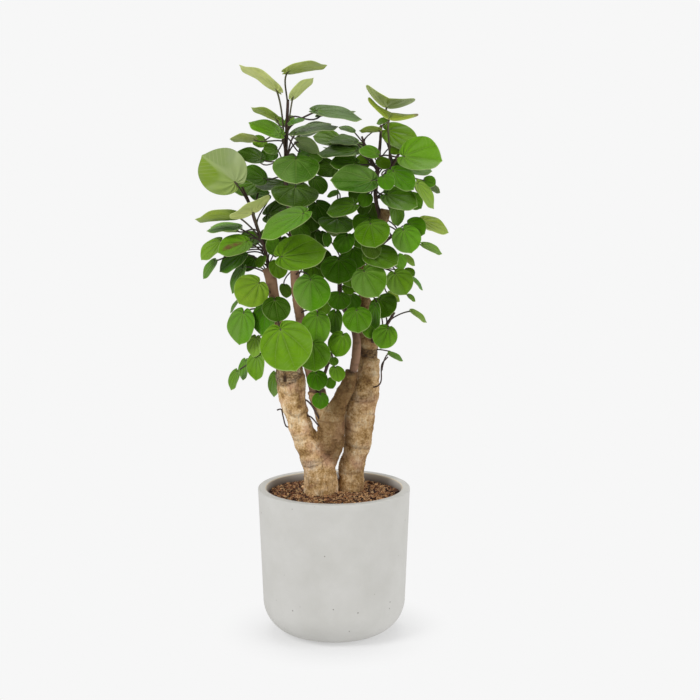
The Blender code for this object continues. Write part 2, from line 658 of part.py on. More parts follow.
def stem_shape(node, kind, rows):
    """Record of a stem or a trunk for the crossing tests."""
    points = stem_points(rows)
    places = [place for place, _ in points]
    radii = [radius * MM * 1.1 + SPARE for _, radius in points]
    wide = enclose(node, kind, places, rod_tree(places, radii, WOOD_SIDES))
    return wide._replace(reach=wide.reach + max(radii))


def grow_sprays():
    """Place every leaf of every leafy stem clear of the rest, front leaves first."""
    placed = []
    for name, wood in (("trunk_left", TRUNK_LEFT), ("trunk_right", TRUNK_RIGHT)):
        placed += [stem_shape(name, "stem", rows) for rows in wood]
    for name, (stems, _) in SPRAYS.items():
        placed += [stem_shape(name, "stem", rows) for rows in stems]
    draw = random.Random(SEED)
    waiting = [(name, leaf) for name, (_, leaves) in SPRAYS.items() for leaf in leaves]
    waiting.sort(key=lambda row: -row[1].width)
    hidden = [(name, leaf) for name, (_, leaves) in SPRAYS.items() for leaf in back_leaves(leaves, draw)]
    roots = {name: stem_roots(stems) for name, (stems, _) in SPRAYS.items()}
    grown = {name: [] for name in SPRAYS}
    for name, leaf in waiting + hidden:
        found = grow_leaf(name, leaf, roots[name], placed)
        if found:
            grown[name].append((leaf, *found))
        else:
            print(f"no room for a leaf of {name} at x {leaf.x:.0f}, z {leaf.z:.0f}")
    return grown


def make_spray(name, stems, grown, collection, material):
    """Fuse a leafy stem with its stalks and blades into one body."""
    meshes = [tube_mesh(f"{name}_stem", stem_points(rows), STEM_ROUNDNESS) for rows in stems]
    section = make_section("stalk_section", STALK_SIDES)
    for leaf, blade, points in grown:
        radii = [stalk_radius(leaf) * share for share in STALK_TAPER]
        meshes.append(tube_mesh(f"{name}_stalk", list(zip(points, radii)), 0, section=section))
        meshes.append(blade_mesh(f"{name}_blade", blade))
    bpy.data.objects.remove(section, do_unlink=True)
    mesh = unite(name, meshes, "MANIFOLD")
    return add_object(name, mesh, collection, material)


def make_wood(name, wood, twigs, collection, material):
    """Fuse the limbs of one trunk into one body."""
    meshes = [tube_mesh(f"{name}_limb", stem_points(rows), WOOD_ROUNDNESS) for rows in wood]
    meshes += [tube_mesh(f"{name}_twig", stem_points(rows), 0) for rows in twigs]
    mesh = unite(name, meshes, "EXACT")
    trunk = add_object(name, mesh, collection, material)
    mesh.shade_smooth()
    mesh.set_sharp_from_angle(angle=math.radians(50))
    return trunk


def main():
    """Build the pot, the soil, the trunks and the leafy stems."""
    clear_scene()
    parts = make_collection("potted_aralia")
    cutters = make_collection("cutters")
    bark = make_material("bark", (0.36, 0.24, 0.13), 0.85)
    leaf_green = make_material("leaf", (0.08, 0.22, 0.03), 0.45)
    make_pot(parts)
    soil = add_object("soil", soil_mesh(), parts, make_material("soil", (0.05, 0.03, 0.02), 0.95))
    holes = [socket_mesh(rows, WOOD_ROUNDNESS) for rows in (LEFT_TRUNK, RIGHT_TRUNK)]
    cut_by(soil, "soil_hole", holes, cutters)
    trunks = {
        "trunk_left": make_wood("trunk_left", TRUNK_LEFT, [BARE_STALK, TWIG, PALE_TWIG], parts, bark),
        "trunk_right": make_wood("trunk_right", TRUNK_RIGHT, [SIDE_STALK], parts, bark)}
    grown = grow_sprays()
    for name, (stems, _) in SPRAYS.items():
        make_spray(name, stems, grown[name], parts, leaf_green)
        cut_by(trunks[HOLDERS[name]], f"{name}_socket", [socket_mesh(stems[0], STEM_ROUNDNESS)], cutters)


if __name__ == "__main__":
    main()
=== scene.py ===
"""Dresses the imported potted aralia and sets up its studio.

Units are metres. Tables of places and widths are in millimetres: a place is read on the plane y = 0
as it is seen from EYE, and then moved along that sight line to its own depth, negative in front.
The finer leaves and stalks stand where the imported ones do, because the same tables and the same
search for room place them.
"""
import logging
import math
import random
from collections.abc import Callable
from dataclasses import dataclass, field
from enum import Enum
from functools import partial
from typing import NamedTuple

import bpy
import numpy as np
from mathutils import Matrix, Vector, noise
from mathutils.bvhtree import BVHTree


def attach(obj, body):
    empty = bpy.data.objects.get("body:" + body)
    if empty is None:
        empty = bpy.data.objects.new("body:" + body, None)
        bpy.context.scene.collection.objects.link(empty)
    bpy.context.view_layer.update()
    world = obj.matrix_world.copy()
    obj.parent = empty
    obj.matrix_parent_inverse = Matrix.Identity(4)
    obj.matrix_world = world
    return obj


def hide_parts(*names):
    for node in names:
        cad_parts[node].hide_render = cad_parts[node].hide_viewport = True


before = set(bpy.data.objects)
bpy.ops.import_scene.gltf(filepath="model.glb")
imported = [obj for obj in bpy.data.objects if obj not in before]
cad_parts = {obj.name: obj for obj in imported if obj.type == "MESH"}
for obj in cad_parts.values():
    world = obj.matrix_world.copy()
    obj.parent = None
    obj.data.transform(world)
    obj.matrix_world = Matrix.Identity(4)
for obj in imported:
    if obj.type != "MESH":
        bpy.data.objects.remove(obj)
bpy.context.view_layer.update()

MM = 0.001
EYE = Vector((0.0263, -2.5, 0.860))
PLACE_SEED = 11
FORM_SEED = 5
NEARLY_NOTHING = 1e-9
SMOOTH = {"interpolation_type": "SMOOTHSTEP"}

log = logging.getLogger("aralia")

Rows = list[tuple[float, float, float, float]]
Path = list[tuple[Vector, float]]
Faces = list[tuple[int, ...]]
Relief = Callable[[float, np.ndarray], np.ndarray]
Adder = Callable[..., bpy.types.NodeSocket]


class Tone(Enum):
    """Age of a leaf and the light and shade painted into its green, as its place between the darkest green
    and the newest yellow-green.
    """

    DEEP = 0.10
    GREEN = 0.33
    FRESH = 0.56
    PALE = 0.76
    YOUNG = 0.95


DEEP, GREEN, FRESH, PALE, YOUNG = Tone


class Accent(Enum):
    """What sets a single leaf apart; most accents paint a sheen on it, and two scorch it brown."""

    PLAIN = "plain"
    HALVES = "halves"
    STRIPE = "stripe"
    TIP = "tip"
    GREY = "grey"
    SHEEN = "sheen"


PLAIN, HALVES, STRIPE, TIP, GREY, SHEEN = Accent


class Leaf(NamedTuple):
    """A leaf: its middle, width, the clock of its tip, its tilts, tone, accent, stalk length and fold."""

    x: float
    z: float
    depth: float
    width: float
    clock: float
    pitch: float
    roll: float
    tone: Tone
    accent: Accent = PLAIN
    stalk: float = 0.0
    fold: float = 0.0


# Wood: x, z, depth and radius at each point, from the foot up
LEFT_TRUNK = [
    (-21, 150, 8, 26.5), (-21, 232, 8, 27.5), (-22, 262, 8, 27), (-27, 284, 8, 25.5), (-37, 303, 8, 23),
    (-46, 322, 8, 21), (-54, 342, 8, 19.5), (-60, 362, 8, 19.5), (-66, 382, 8, 20.5),
    (-69, 402, 8, 22), (-71, 424, 8, 24), (-73, 443, 8, 22.5),
]
MIDDLE_LIMB = [
    (-12, 268, 14, 12), (-9, 292, 10, 17), (-6, 315, 6, 22.5), (-5, 338, 4, 22.5), (-5, 358, 4, 20.5),
    (-9, 372, 6, 13),
]
LEFT_FORK = [(-12, 348, 6, 14), (-19, 368, 8, 13), (-24, 386, 10, 14), (-28, 404, 10, 15.5)]
RIGHT_FORK = [
    (-3, 350, 6, 15), (4, 370, 4, 15.5), (12, 390, 1, 13.5), (22, 410, 0, 12.5), (29, 436, 1, 10),
]
RIGHT_TRUNK = [
    (27.5, 150, 26, 21.5), (27.5, 236, 26, 22), (29.5, 262, 26, 20.5), (32, 284, 26, 20.5), (36, 304, 26, 21),
    (39, 322, 26, 23), (41, 342, 26, 24.5), (42, 362, 26, 25.5), (45, 384, 26, 26), (51, 404, 26, 24),
    (55, 424, 26, 19.5), (58, 456, 26, 17.5),
]
NECK = [
    (57, 440, 24, 13), (56, 466, 24, 16), (56, 488, 24, 16.5), (54, 506, 24, 13), (52, 528, 24, 11.5),
    (51, 548, 24, 11), (48, 557, 24, 7.5), (47, 578, 24, 7.5), (44, 612, 24, 7.5), (49, 645, 22, 8),
    (64, 664, 20, 9), (78, 681, 19, 10), (84, 698, 18, 9.5),
]
BARE_STALK = [
    (-66, 343, 8, 1.2), (-78, 344, 4, 1.2), (-83, 360, 2, 1.2), (-86, 372, 2, 1.2), (-93, 371, 0, 1.2),
]
TWIG = [(-46, 362, 2, 1.3), (-37, 359, -4, 1.3), (-25, 345, -6, 1.3), (-14, 336, 2, 1.3)]
PALE_TWIG = [
    (-50, 389, 8, 1.5), (-43, 386, 0, 1.5), (-35, 377, -4, 1.5), (-27, 362, -5, 1.5), (-17, 346, 4, 1.5),
]
SIDE_STALK = [(60, 470, 22, 1.1), (74, 471, 16, 1.1), (92, 468, 14, 1.0)]

# Leafy stems: x, z, depth and radius at each point, from the root up
STEM_LEFT = [
    [(-84, 428, 8, 6.5), (-88, 470, 8, 8), (-90, 503, 6, 8), (-92, 540, 4, 8), (-97, 560, 4, 8.5),
     (-102, 590, 4, 9), (-108, 604, 4, 8)],
    [(-102, 588, 4, 3), (-106, 612, 4, 3), (-112, 640, 4, 2.7), (-120, 662, 4, 2.6), (-127, 682, 6, 2.4),
     (-134, 706, 8, 2.2), (-146, 734, 8, 1.9)],
]
STEM_CENTRE = [
    [(-30, 386, 10, 6), (-35, 411, 9, 6.5), (-40, 436, 8, 7), (-47, 470, 6, 7.5), (-54, 520, 4, 7.5),
     (-60, 560, 4, 7.5), (-63, 600, 4, 7), (-66, 640, 6, 5), (-70, 690, 8, 4), (-76, 740, 8, 3.4),
     (-76, 785, 6, 3), (-74, 830, 4, 2.6), (-72, 872, 2, 2.2)],
]
SPRIG_MIDDLE = [[(-20, 398, 6, 3.5), (-18, 420, -6, 2.8), (-10, 446, -14, 2.4), (-2, 470, -16, 2.0)]]
STEM_MIDDLE = [
    [(28, 422, 1, 5), (34, 448, -2, 6.8), (37, 472, -2, 7), (36, 494, 4, 6), (26, 522, 16, 4.6),
     (12, 550, 22, 4), (10, 590, 24, 3.5), (15, 640, 24, 3.2), (12, 690, 22, 2.8), (6, 705, 20, 2.2)],
]
SPRIG_RIGHT = [[(58, 480, 18, 3), (72, 494, -2, 2.6), (86, 512, -10, 2.4), (98, 532, -12, 2.1)]]
STEM_RIGHT = [
    [(45, 614, 21, 3.6), (58, 612, 6, 3.2), (74, 606, -2, 2.8), (90, 610, -6, 2.4)],
    [(56, 613, 8, 2.8), (72, 636, -2, 2.7), (92, 654, -6, 2.4), (112, 664, -8, 2.0)],
]
STEM_TOP = [
    [(76, 682, 18, 3.4), (69, 706, 14, 3.2), (67, 724, 12, 3.2), (69, 742, 10, 3.0),
     (71, 770, 8, 2.8), (74, 800, 6, 2.4), (76, 832, 4, 2.0)],
    [(69, 740, 10, 2.6), (84, 756, 6, 2.5), (97, 774, 2, 2.2), (106, 790, 0, 1.9)],
    [(71, 758, 9, 2.4), (60, 778, 8, 2.2), (51, 798, 8, 1.9), (45, 814, 6, 1.6)],
]
SHOOT_RIGHT = [
    [(58, 408, 18, 1.2), (71, 411, 0, 1.2), (77, 420, -4, 1.1), (78, 446, -4, 1.1), (88, 459, -6, 1.0)],
]

# Leaves: x, z, depth, width, clock of the tip, pitch to the front, roll of the upper face, tone, and
# where it has them, the accent, the stalk's length and the rise of both halves from the midrib
LEAVES_LEFT = [
    Leaf(-77, 478, -100, 83, 160, 8, 0, FRESH), Leaf(-177, 758, -30, 80, 310, 5, 162, FRESH, HALVES),
    Leaf(-133, 700, -40, 71, 332, 72, 180, YOUNG), Leaf(-180, 686, -15, 80, 268, 0, 103, PALE, GREY),
    Leaf(-173, 668, 10, 60, 266, 0, 76, FRESH), Leaf(-158, 640, -25, 58, 252, 10, 55, FRESH, STRIPE),
    Leaf(-194, 636, 0, 52, 228, 10, 62, FRESH), Leaf(-199, 604, 12, 40, 216, 0, 69, GREEN, GREY),
    Leaf(-161, 616, 10, 56, 235, 0, 60, GREEN), Leaf(-154, 588, 0, 53, 205, 0, 70, GREEN),
    Leaf(-133, 567, -35, 57, 225, 20, 10, PALE), Leaf(-160, 543, 15, 27, 215, 0, 78, GREEN),
    Leaf(-117, 615, 22, 24, 200, 20, 50, GREEN), Leaf(-134, 650, 20, 40, 240, 20, 45, GREEN),
    Leaf(-98, 640, -16, 30, 330, 30, 30, GREEN), Leaf(-149, 511, -10, 62, 190, 0, 45, FRESH, SHEEN),
    Leaf(-112, 522, -30, 58, 187, 0, 50, GREEN), Leaf(-93, 538, -20, 46, 170, 25, 10, DEEP),
    Leaf(-128, 478, 0, 38, 190, 0, 50, PALE), Leaf(-126, 445, -10, 48, 185, 0, 53, FRESH),
    Leaf(-146, 440, 10, 38, 190, 0, 65, FRESH), Leaf(-162, 423, 0, 38, 200, 0, 65, FRESH),
    Leaf(-97, 416, 14, 45, 186, 0, 66, FRESH),
]
LEAVES_CENTRE = [
    Leaf(-60, 764, -70, 73, 180, 54, 0, DEEP, SHEEN),
    Leaf(-75, 677, -95, 90, 242, 5, 68, FRESH, SHEEN), Leaf(-56, 627, -80, 84, 80, 0, 49, FRESH),
    Leaf(-37, 565, -75, 61, 178, 10, 15, GREEN, SHEEN, fold=0.15),
    Leaf(-48, 920, -5, 74, 79, 0, 103, YOUNG, GREY),
    Leaf(-112, 903, -10, 82, 305, 0, 102, YOUNG, stalk=125),
    Leaf(-52, 888, -10, 52, 46, 0, 108, YOUNG, stalk=105), Leaf(-106, 849, 0, 51, 296, 0, 105, PALE),
    Leaf(-104, 825, -15, 62, 292, 0, 68, FRESH, SHEEN),
    Leaf(-60, 837, -10, 30, 70, 0, 75, GREEN, GREY),
    Leaf(-84, 837, 14, 24, 300, 20, 60, FRESH), Leaf(-141, 810, 0, 46, 274, 0, 108, YOUNG, GREY),
    Leaf(-117, 806, 15, 26, 250, 30, 30, FRESH), Leaf(-131, 783, -10, 48, 285, 0, 60, DEEP),
    Leaf(-99, 794, 5, 26, 270, 20, 45, GREEN), Leaf(-125, 752, 10, 46, 290, 10, 50, GREEN),
    Leaf(-97, 737, 25, 58, 268, 20, 70, DEEP), Leaf(-62, 722, -18, 76, 185, 62, 0, DEEP),
    Leaf(-34, 824, -20, 80, 79, 0, 80, DEEP, GREY),
    Leaf(-43, 800, -5, 44, 112, 0, 120, GREEN, GREY),
    Leaf(1, 850, -25, 86, 98, 0, 77, DEEP, GREY), Leaf(-80, 696, -10, 79, 75, 10, 60, DEEP),
    Leaf(-78, 568, 18, 26, 170, 20, 40, PALE, GREY), Leaf(-28, 508, -55, 57, 185, 0, 35, FRESH),
]
LEAVES_SPRIG = [
    Leaf(-33, 463, -75, 54, 175, 15, 10, GREEN), Leaf(-27, 421, -45, 34, 170, 10, 0, GREEN),
    Leaf(5, 432, -55, 29, 165, 20, 30, FRESH), Leaf(-22, 387, -35, 28, 178, 5, 0, GREEN),
    Leaf(-6, 416, -30, 20, 150, 10, 20, GREEN), Leaf(10, 481, -60, 43, 200, 0, 31, GREEN),
    Leaf(0, 452, -20, 16, 170, 20, 20, GREEN),
]
LEAVES_MIDDLE = [
    Leaf(38, 521, -75, 47, 175, 28, 0, GREEN), Leaf(2, 517, -40, 43, 185, 0, 52, GREEN),
    Leaf(17, 645, -20, 38, 200, 20, 30, GREEN), Leaf(8, 603, -25, 58, 180, 38, 0, GREEN),
    Leaf(-11, 650, 0, 24, 170, 0, 50, GREEN), Leaf(5, 675, -10, 60, 185, 65, 0, GREEN),
    Leaf(16, 701, -45, 54, 255, 0, 58, GREEN), Leaf(0, 723, 0, 22, 250, 0, 65, GREEN),
    Leaf(8, 552, 0, 39, 190, 40, 0, GREEN), Leaf(24, 570, 5, 22, 160, 30, 20, GREEN),
    Leaf(-12, 764, 0, 42, 265, 20, 40, DEEP), Leaf(67, 528, -40, 45, 182, 0, 63, GREEN),
    Leaf(33, 622, 2, 44, 170, 30, 10, GREEN),
]
LEAVES_SPRIG_RIGHT = [
    Leaf(83, 493, -50, 41, 200, 10, 10, FRESH), Leaf(57, 503, -30, 28, 170, 20, 30, GREEN),
    Leaf(136, 527, -10, 36, 125, 0, 75, PALE), Leaf(80, 543, -30, 48, 150, 40, 0, GREEN),
]
LEAVES_RIGHT = [
    Leaf(58, 583, -85, 57, 150, 20, 0, GREEN, SHEEN, fold=0.15),
    Leaf(75, 622, -60, 60, 110, 20, 50, GREEN), Leaf(62, 661, -70, 57, 168, 40, 0, GREEN),
    Leaf(54, 673, -40, 50, 200, 40, 0, GREEN), Leaf(117, 651, -50, 47, 160, 15, 10, FRESH, SHEEN),
    Leaf(106, 582, -40, 46, 150, 10, 20, FRESH, SHEEN), Leaf(130, 669, -35, 38, 120, 20, 20, GREEN),
    Leaf(159, 673, -10, 54, 112, 0, 66, YOUNG), Leaf(156, 636, 0, 40, 114, 0, 72, PALE, GREY),
    Leaf(107, 615, -20, 28, 160, 0, 45, FRESH), Leaf(121, 617, 0, 26, 130, 0, 65, PALE),
    Leaf(121, 597, 5, 22, 120, 20, 45, GREEN), Leaf(134, 580, 10, 30, 138, 0, 78, FRESH),
    Leaf(96, 558, -15, 26, 125, 0, 60, PALE, GREY), Leaf(125, 556, 4, 18, 130, 0, 65, FRESH),
]
LEAVES_TOP = [
    Leaf(36, 745, -75, 77, 272, 5, 56, DEEP, SHEEN),
    Leaf(104, 715, -55, 62, 108, 10, 54, GREEN, SHEEN),
    Leaf(136, 780, -38, 72, 95, 10, 42, FRESH, SHEEN, fold=0.25),
    Leaf(131, 765, 8, 52, 100, 0, 60, GREEN),
    Leaf(106, 812, -20, 72, 116, 0, 57, FRESH),
    Leaf(86, 866, -20, 82, 16, 75, 180, YOUNG, HALVES, stalk=105, fold=0.35),
    Leaf(90, 846, -5, 84, 18, -79, 0, YOUNG, TIP, stalk=95, fold=0.3),
    Leaf(12, 790, -30, 73, 268, 0, 74, DEEP, GREY), Leaf(18, 807, 10, 50, 275, 0, 72, GREEN),
    Leaf(38, 798, 25, 38, 280, 0, 68, FRESH), Leaf(-9, 811, 15, 46, 280, 0, 56, FRESH),
    Leaf(20, 772, -25, 50, 270, 10, 60, GREEN), Leaf(47, 774, 0, 26, 280, 20, 30, FRESH),
    Leaf(58, 789, -38, 34, 285, 0, 55, GREEN), Leaf(23, 825, 0, 29, 287, 0, 72, FRESH),
    Leaf(60, 824, -15, 37, 270, 0, 106, PALE), Leaf(108, 748, -30, 52, 130, 10, 49, GREEN),
    Leaf(84, 742, -15, 28, 150, 20, 20, GREEN), Leaf(97, 793, -10, 20, 120, 20, 30, FRESH),
    Leaf(145, 724, -25, 56, 145, 0, 70, PALE), Leaf(152, 742, 0, 24, 110, 20, 30, FRESH),
    Leaf(161, 731, 5, 22, 120, 0, 120, GREEN, GREY),
    Leaf(101, 690, -20, 36, 170, 0, 51, GREEN, GREY), Leaf(51, 714, -35, 26, 200, 20, 20, GREEN),
    Leaf(78, 838, 12, 20, 250, 0, 60, GREEN),
]
LEAVES_SHOOT = [
    Leaf(99, 460, -10, 30, 116, 0, 72, FRESH),
]

# Further leaves that only the dressed model has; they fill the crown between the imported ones
FILLERS = {
    "stem_left": [
        Leaf(-137, 735, 20, 48, 250, 20, 45, GREEN), Leaf(-90, 603, 25, 34, 170, 20, 30, GREEN),
        Leaf(-117, 722, 15, 38, 270, 20, 50, GREEN), Leaf(-136, 612, 25, 36, 230, 20, 40, GREEN),
        Leaf(-105, 655, 25, 36, 220, 20, 40, DEEP),
    ],
    "stem_centre": [
        Leaf(-20, 694, 15, 50, 150, 20, 40, DEEP), Leaf(-31, 656, 20, 30, 170, 20, 30, DEEP),
        Leaf(-18, 652, 10, 30, 160, 20, 40, DEEP), Leaf(-32, 601, 15, 44, 180, 20, 30, GREEN),
        Leaf(-44, 790, 25, 30, 90, 20, 40, GREEN), Leaf(-88, 640, 15, 40, 200, 20, 30, DEEP),
        Leaf(-25, 738, 15, 36, 150, 20, 40, DEEP), Leaf(-38, 681, 15, 40, 170, 20, 30, DEEP),
        Leaf(-102, 785, 20, 30, 250, 20, 40, GREEN), Leaf(-20, 620, 25, 40, 170, 20, 30, DEEP),
        Leaf(-70, 838, 15, 22, 40, 10, 50, FRESH), Leaf(-31, 781, 20, 28, 100, 20, 40, GREEN),
        Leaf(-54, 662, 25, 36, 170, 20, 30, DEEP),
    ],
    "stem_middle": [
        Leaf(-14, 540, 20, 30, 200, 20, 40, GREEN), Leaf(41, 650, 10, 30, 170, 20, 20, GREEN),
        Leaf(26, 592, 15, 40, 170, 20, 20, GREEN), Leaf(29, 550, 15, 32, 170, 20, 20, GREEN),
    ],
    "stem_right": [Leaf(60, 635, 5, 34, 160, 20, 30, DEEP)],
    "stem_top": [
        Leaf(79, 772, 20, 26, 130, 20, 40, GREEN), Leaf(127, 712, 15, 36, 130, 10, 40, GREEN),
        Leaf(50, 702, 20, 30, 200, 20, 40, DEEP), Leaf(100, 765, 20, 34, 130, 10, 40, DEEP),
        Leaf(40, 725, 25, 36, 220, 20, 40, DEEP),
        Leaf(100, 703, 10, 34, 150, 10, 40, DEEP), Leaf(63, 697, 20, 30, 160, 20, 40, GREEN),
    ],
}

TRUNK_LEFT = [LEFT_TRUNK, MIDDLE_LIMB, LEFT_FORK, RIGHT_FORK]
TRUNK_RIGHT = [RIGHT_TRUNK, NECK]
SPRAYS = {
    "stem_left": (STEM_LEFT, LEAVES_LEFT),
    "stem_centre": (STEM_CENTRE, LEAVES_CENTRE),
    "stem_top": (STEM_TOP, LEAVES_TOP),
    "stem_right": (STEM_RIGHT, LEAVES_RIGHT),
    "stem_middle": (STEM_MIDDLE, LEAVES_MIDDLE),
    "sprig_middle": (SPRIG_MIDDLE, LEAVES_SPRIG),
    "sprig_right": (SPRIG_RIGHT, LEAVES_SPRIG_RIGHT),
    "shoot_right": (SHOOT_RIGHT, LEAVES_SHOOT),
}


def in_space(x: float, z: float, depth: float) -> Vector:
    """Move a place read on the plane y = 0 along its sight line to its depth.

    Args:
        x: where it is read, to the right, in millimetres.
        z: where it is read, upward, in millimetres.
        depth: how far behind the plane it lies, in millimetres.

    Returns:
        The place in metres.
    """
    read = Vector((x * MM, 0.0, z * MM))
    return EYE + (read - EYE) * (1.0 - depth * MM / EYE.y)


def stem_points(rows: Rows) -> Path:
    """Turn table rows into places in space with their radii in millimetres."""
    return [(in_space(x, z, depth), radius) for x, z, depth, radius in rows]


def curve_place(bend: list[Vector], share: float) -> Vector:
    """Place on a smooth curve.

    Args:
        bend: the four points that it bends by.
        share: how far along it the place lies, from 0 to 1.

    Returns:
        The place.
    """
    rest = 1.0 - share
    return (bend[0] * rest ** 3 + bend[1] * 3 * rest * rest * share
            + bend[2] * 3 * rest * share * share + bend[3] * share ** 3)


class Blade(NamedTuple):
    """Coarse outline of a leaf's blade with its directions."""

    middle: Vector
    base: Vector
    midrib: Vector
    normal: Vector
    rim: list[Vector]

    def corners(self) -> list[Vector]:
        """The outline's corners with the middle first."""
        return [self.middle, self.base, *self.rim]


class Placed(NamedTuple):
    """A shape that holds its room, with the ball round it."""

    node: str
    kind: str
    centre: Vector
    reach: float
    tree: BVHTree


class Grown(NamedTuple):
    """A leaf that has its place: its blade and the four points that its stalk bends by."""

    leaf: Leaf
    blade: Blade
    bend: list[Vector]


@dataclass(frozen=True)
class BladeForm:
    """Form of a round blade with a notch at its base, in shares of its width."""

    length: float = 0.95
    notch: float = 0.32
    lobe_angle: float = math.radians(168.0)
    round_up: float = 1.025
    corners: tuple = ((50.0, 10), (30.0, 8), (0.0, 6))
    cup: float = 0.18
    droop: float = 0.07
    wave: float = 0.006
    waves: int = 5
    wave_height: float = 4.0
    wave_middle: float = 0.3

    def height(self, along: np.ndarray, across: np.ndarray, fold: float) -> np.ndarray:
        """Height of the blade above its flat plane.

        Args:
            along: places along the midrib, in widths.
            across: places to the side, in widths.
            fold: how steeply both halves rise from the midrib.

        Returns:
            The heights in widths.
        """
        turn = np.arctan2(across, along - self.wave_middle)
        outward = (along * along + across * across) * self.wave_height
        ripple = self.wave * np.cos(self.waves * turn) * outward
        return self.cup * across * across - self.droop * along * along + fold * abs(across) + ripple

    def directions(self, leaf: Leaf, centre: Vector) -> tuple[Vector, Vector]:
        """Midrib and upper-face normal of a leaf from its angles, as seen from EYE.

        Args:
            leaf: the leaf as it is read.
            centre: the middle of its blade.

        Returns:
            The two directions.
        """
        toward = (EYE - centre).normalized()
        right = Vector((0.0, 0.0, 1.0)).cross(toward).normalized()
        up = toward.cross(right)
        clock = math.radians(leaf.clock)
        pitch = math.radians(leaf.pitch)
        roll = math.radians(leaf.roll)
        flat = right * math.sin(clock) + up * math.cos(clock)
        midrib = flat * math.cos(pitch) + toward * math.sin(pitch)
        facing = (toward - midrib * midrib.dot(toward)).normalized()
        aside = facing.cross(midrib)
        if leaf.clock > 180:
            aside = -aside
        return midrib, facing * math.cos(roll) + aside * math.sin(roll)

    def outline(self, leaf: Leaf, centre: Vector) -> Blade:
        """Lay the coarse blade of a leaf about its middle, cupped and waved about its midrib.

        Args:
            leaf: the leaf as it is read.
            centre: the middle of its blade.

        Returns:
            The blade.
        """
        midrib, normal = self.directions(leaf, centre)
        side = midrib.cross(normal)
        width = leaf.width * MM
        base = centre - midrib * width * self.notch
        count = next(points for least, points in self.corners if leaf.width > least)
        rim = []
        for index in range(count):
            angle = -self.lobe_angle + 2 * self.lobe_angle * index / (count - 1)
            across = 0.5 * self.round_up * math.sin(angle)
            along = 0.5 * self.round_up * self.length * math.cos(angle) + self.notch
            height = float(self.height(along, across, leaf.fold))
            rim.append(base + (midrib * along + side * across + normal * height) * width)
        lift = float(self.height(self.notch, 0.0, leaf.fold))
        middle = base + (midrib * self.notch + normal * lift) * width
        return Blade(middle, base, midrib, normal, rim)


@dataclass(frozen=True)
class StalkForm:
    """Form of a leaf stalk; radii in millimetres."""

    radius: float = 0.95
    radius_share: float = 0.006
    shares: tuple = (0.0, 0.36, 0.86)
    sunk: float = 0.10
    sides: int = 3
    leave: float = 0.35
    arrive: float = 0.33
    arrive_back: float = 0.65
    arrive_below: float = 0.45

    def thickness(self, leaf: Leaf) -> float:
        """Radius of the leaf's stalk in millimetres."""
        return self.radius + self.radius_share * leaf.width

    def bend(self, root: Vector, direction: Vector, blade: Blade, width: float) -> list[Vector]:
        """The four points that bend a stalk from its root on a stem to the notch of its blade.

        Args:
            root: where it leaves the stem.
            direction: the stem's direction there.
            blade: the leaf's blade.
            width: the leaf's width in millimetres.

        Returns:
            The root, two points between and the notch.
        """
        end = blade.base + blade.midrib * width * MM * self.sunk
        reach = (end - root).length
        leave = root + (direction * 0.5 + (end - root).normalized() * 0.5) * reach * self.leave
        back = blade.midrib * self.arrive_back + blade.normal * self.arrive_below
        arrive = blade.base - back * reach * self.arrive
        return [root, leave, arrive, blade.base]

    def points(self, bend: list[Vector], blade: Blade, width: float) -> list[Vector]:
        """The few points of the coarse stalk, the last one inside the blade.

        Args:
            bend: the four points that it bends by.
            blade: the leaf's blade.
            width: the leaf's width in millimetres.

        Returns:
            The points.
        """
        points = [curve_place(bend, share) for share in self.shares]
        return [*points, blade.base + blade.midrib * width * MM * self.sunk]


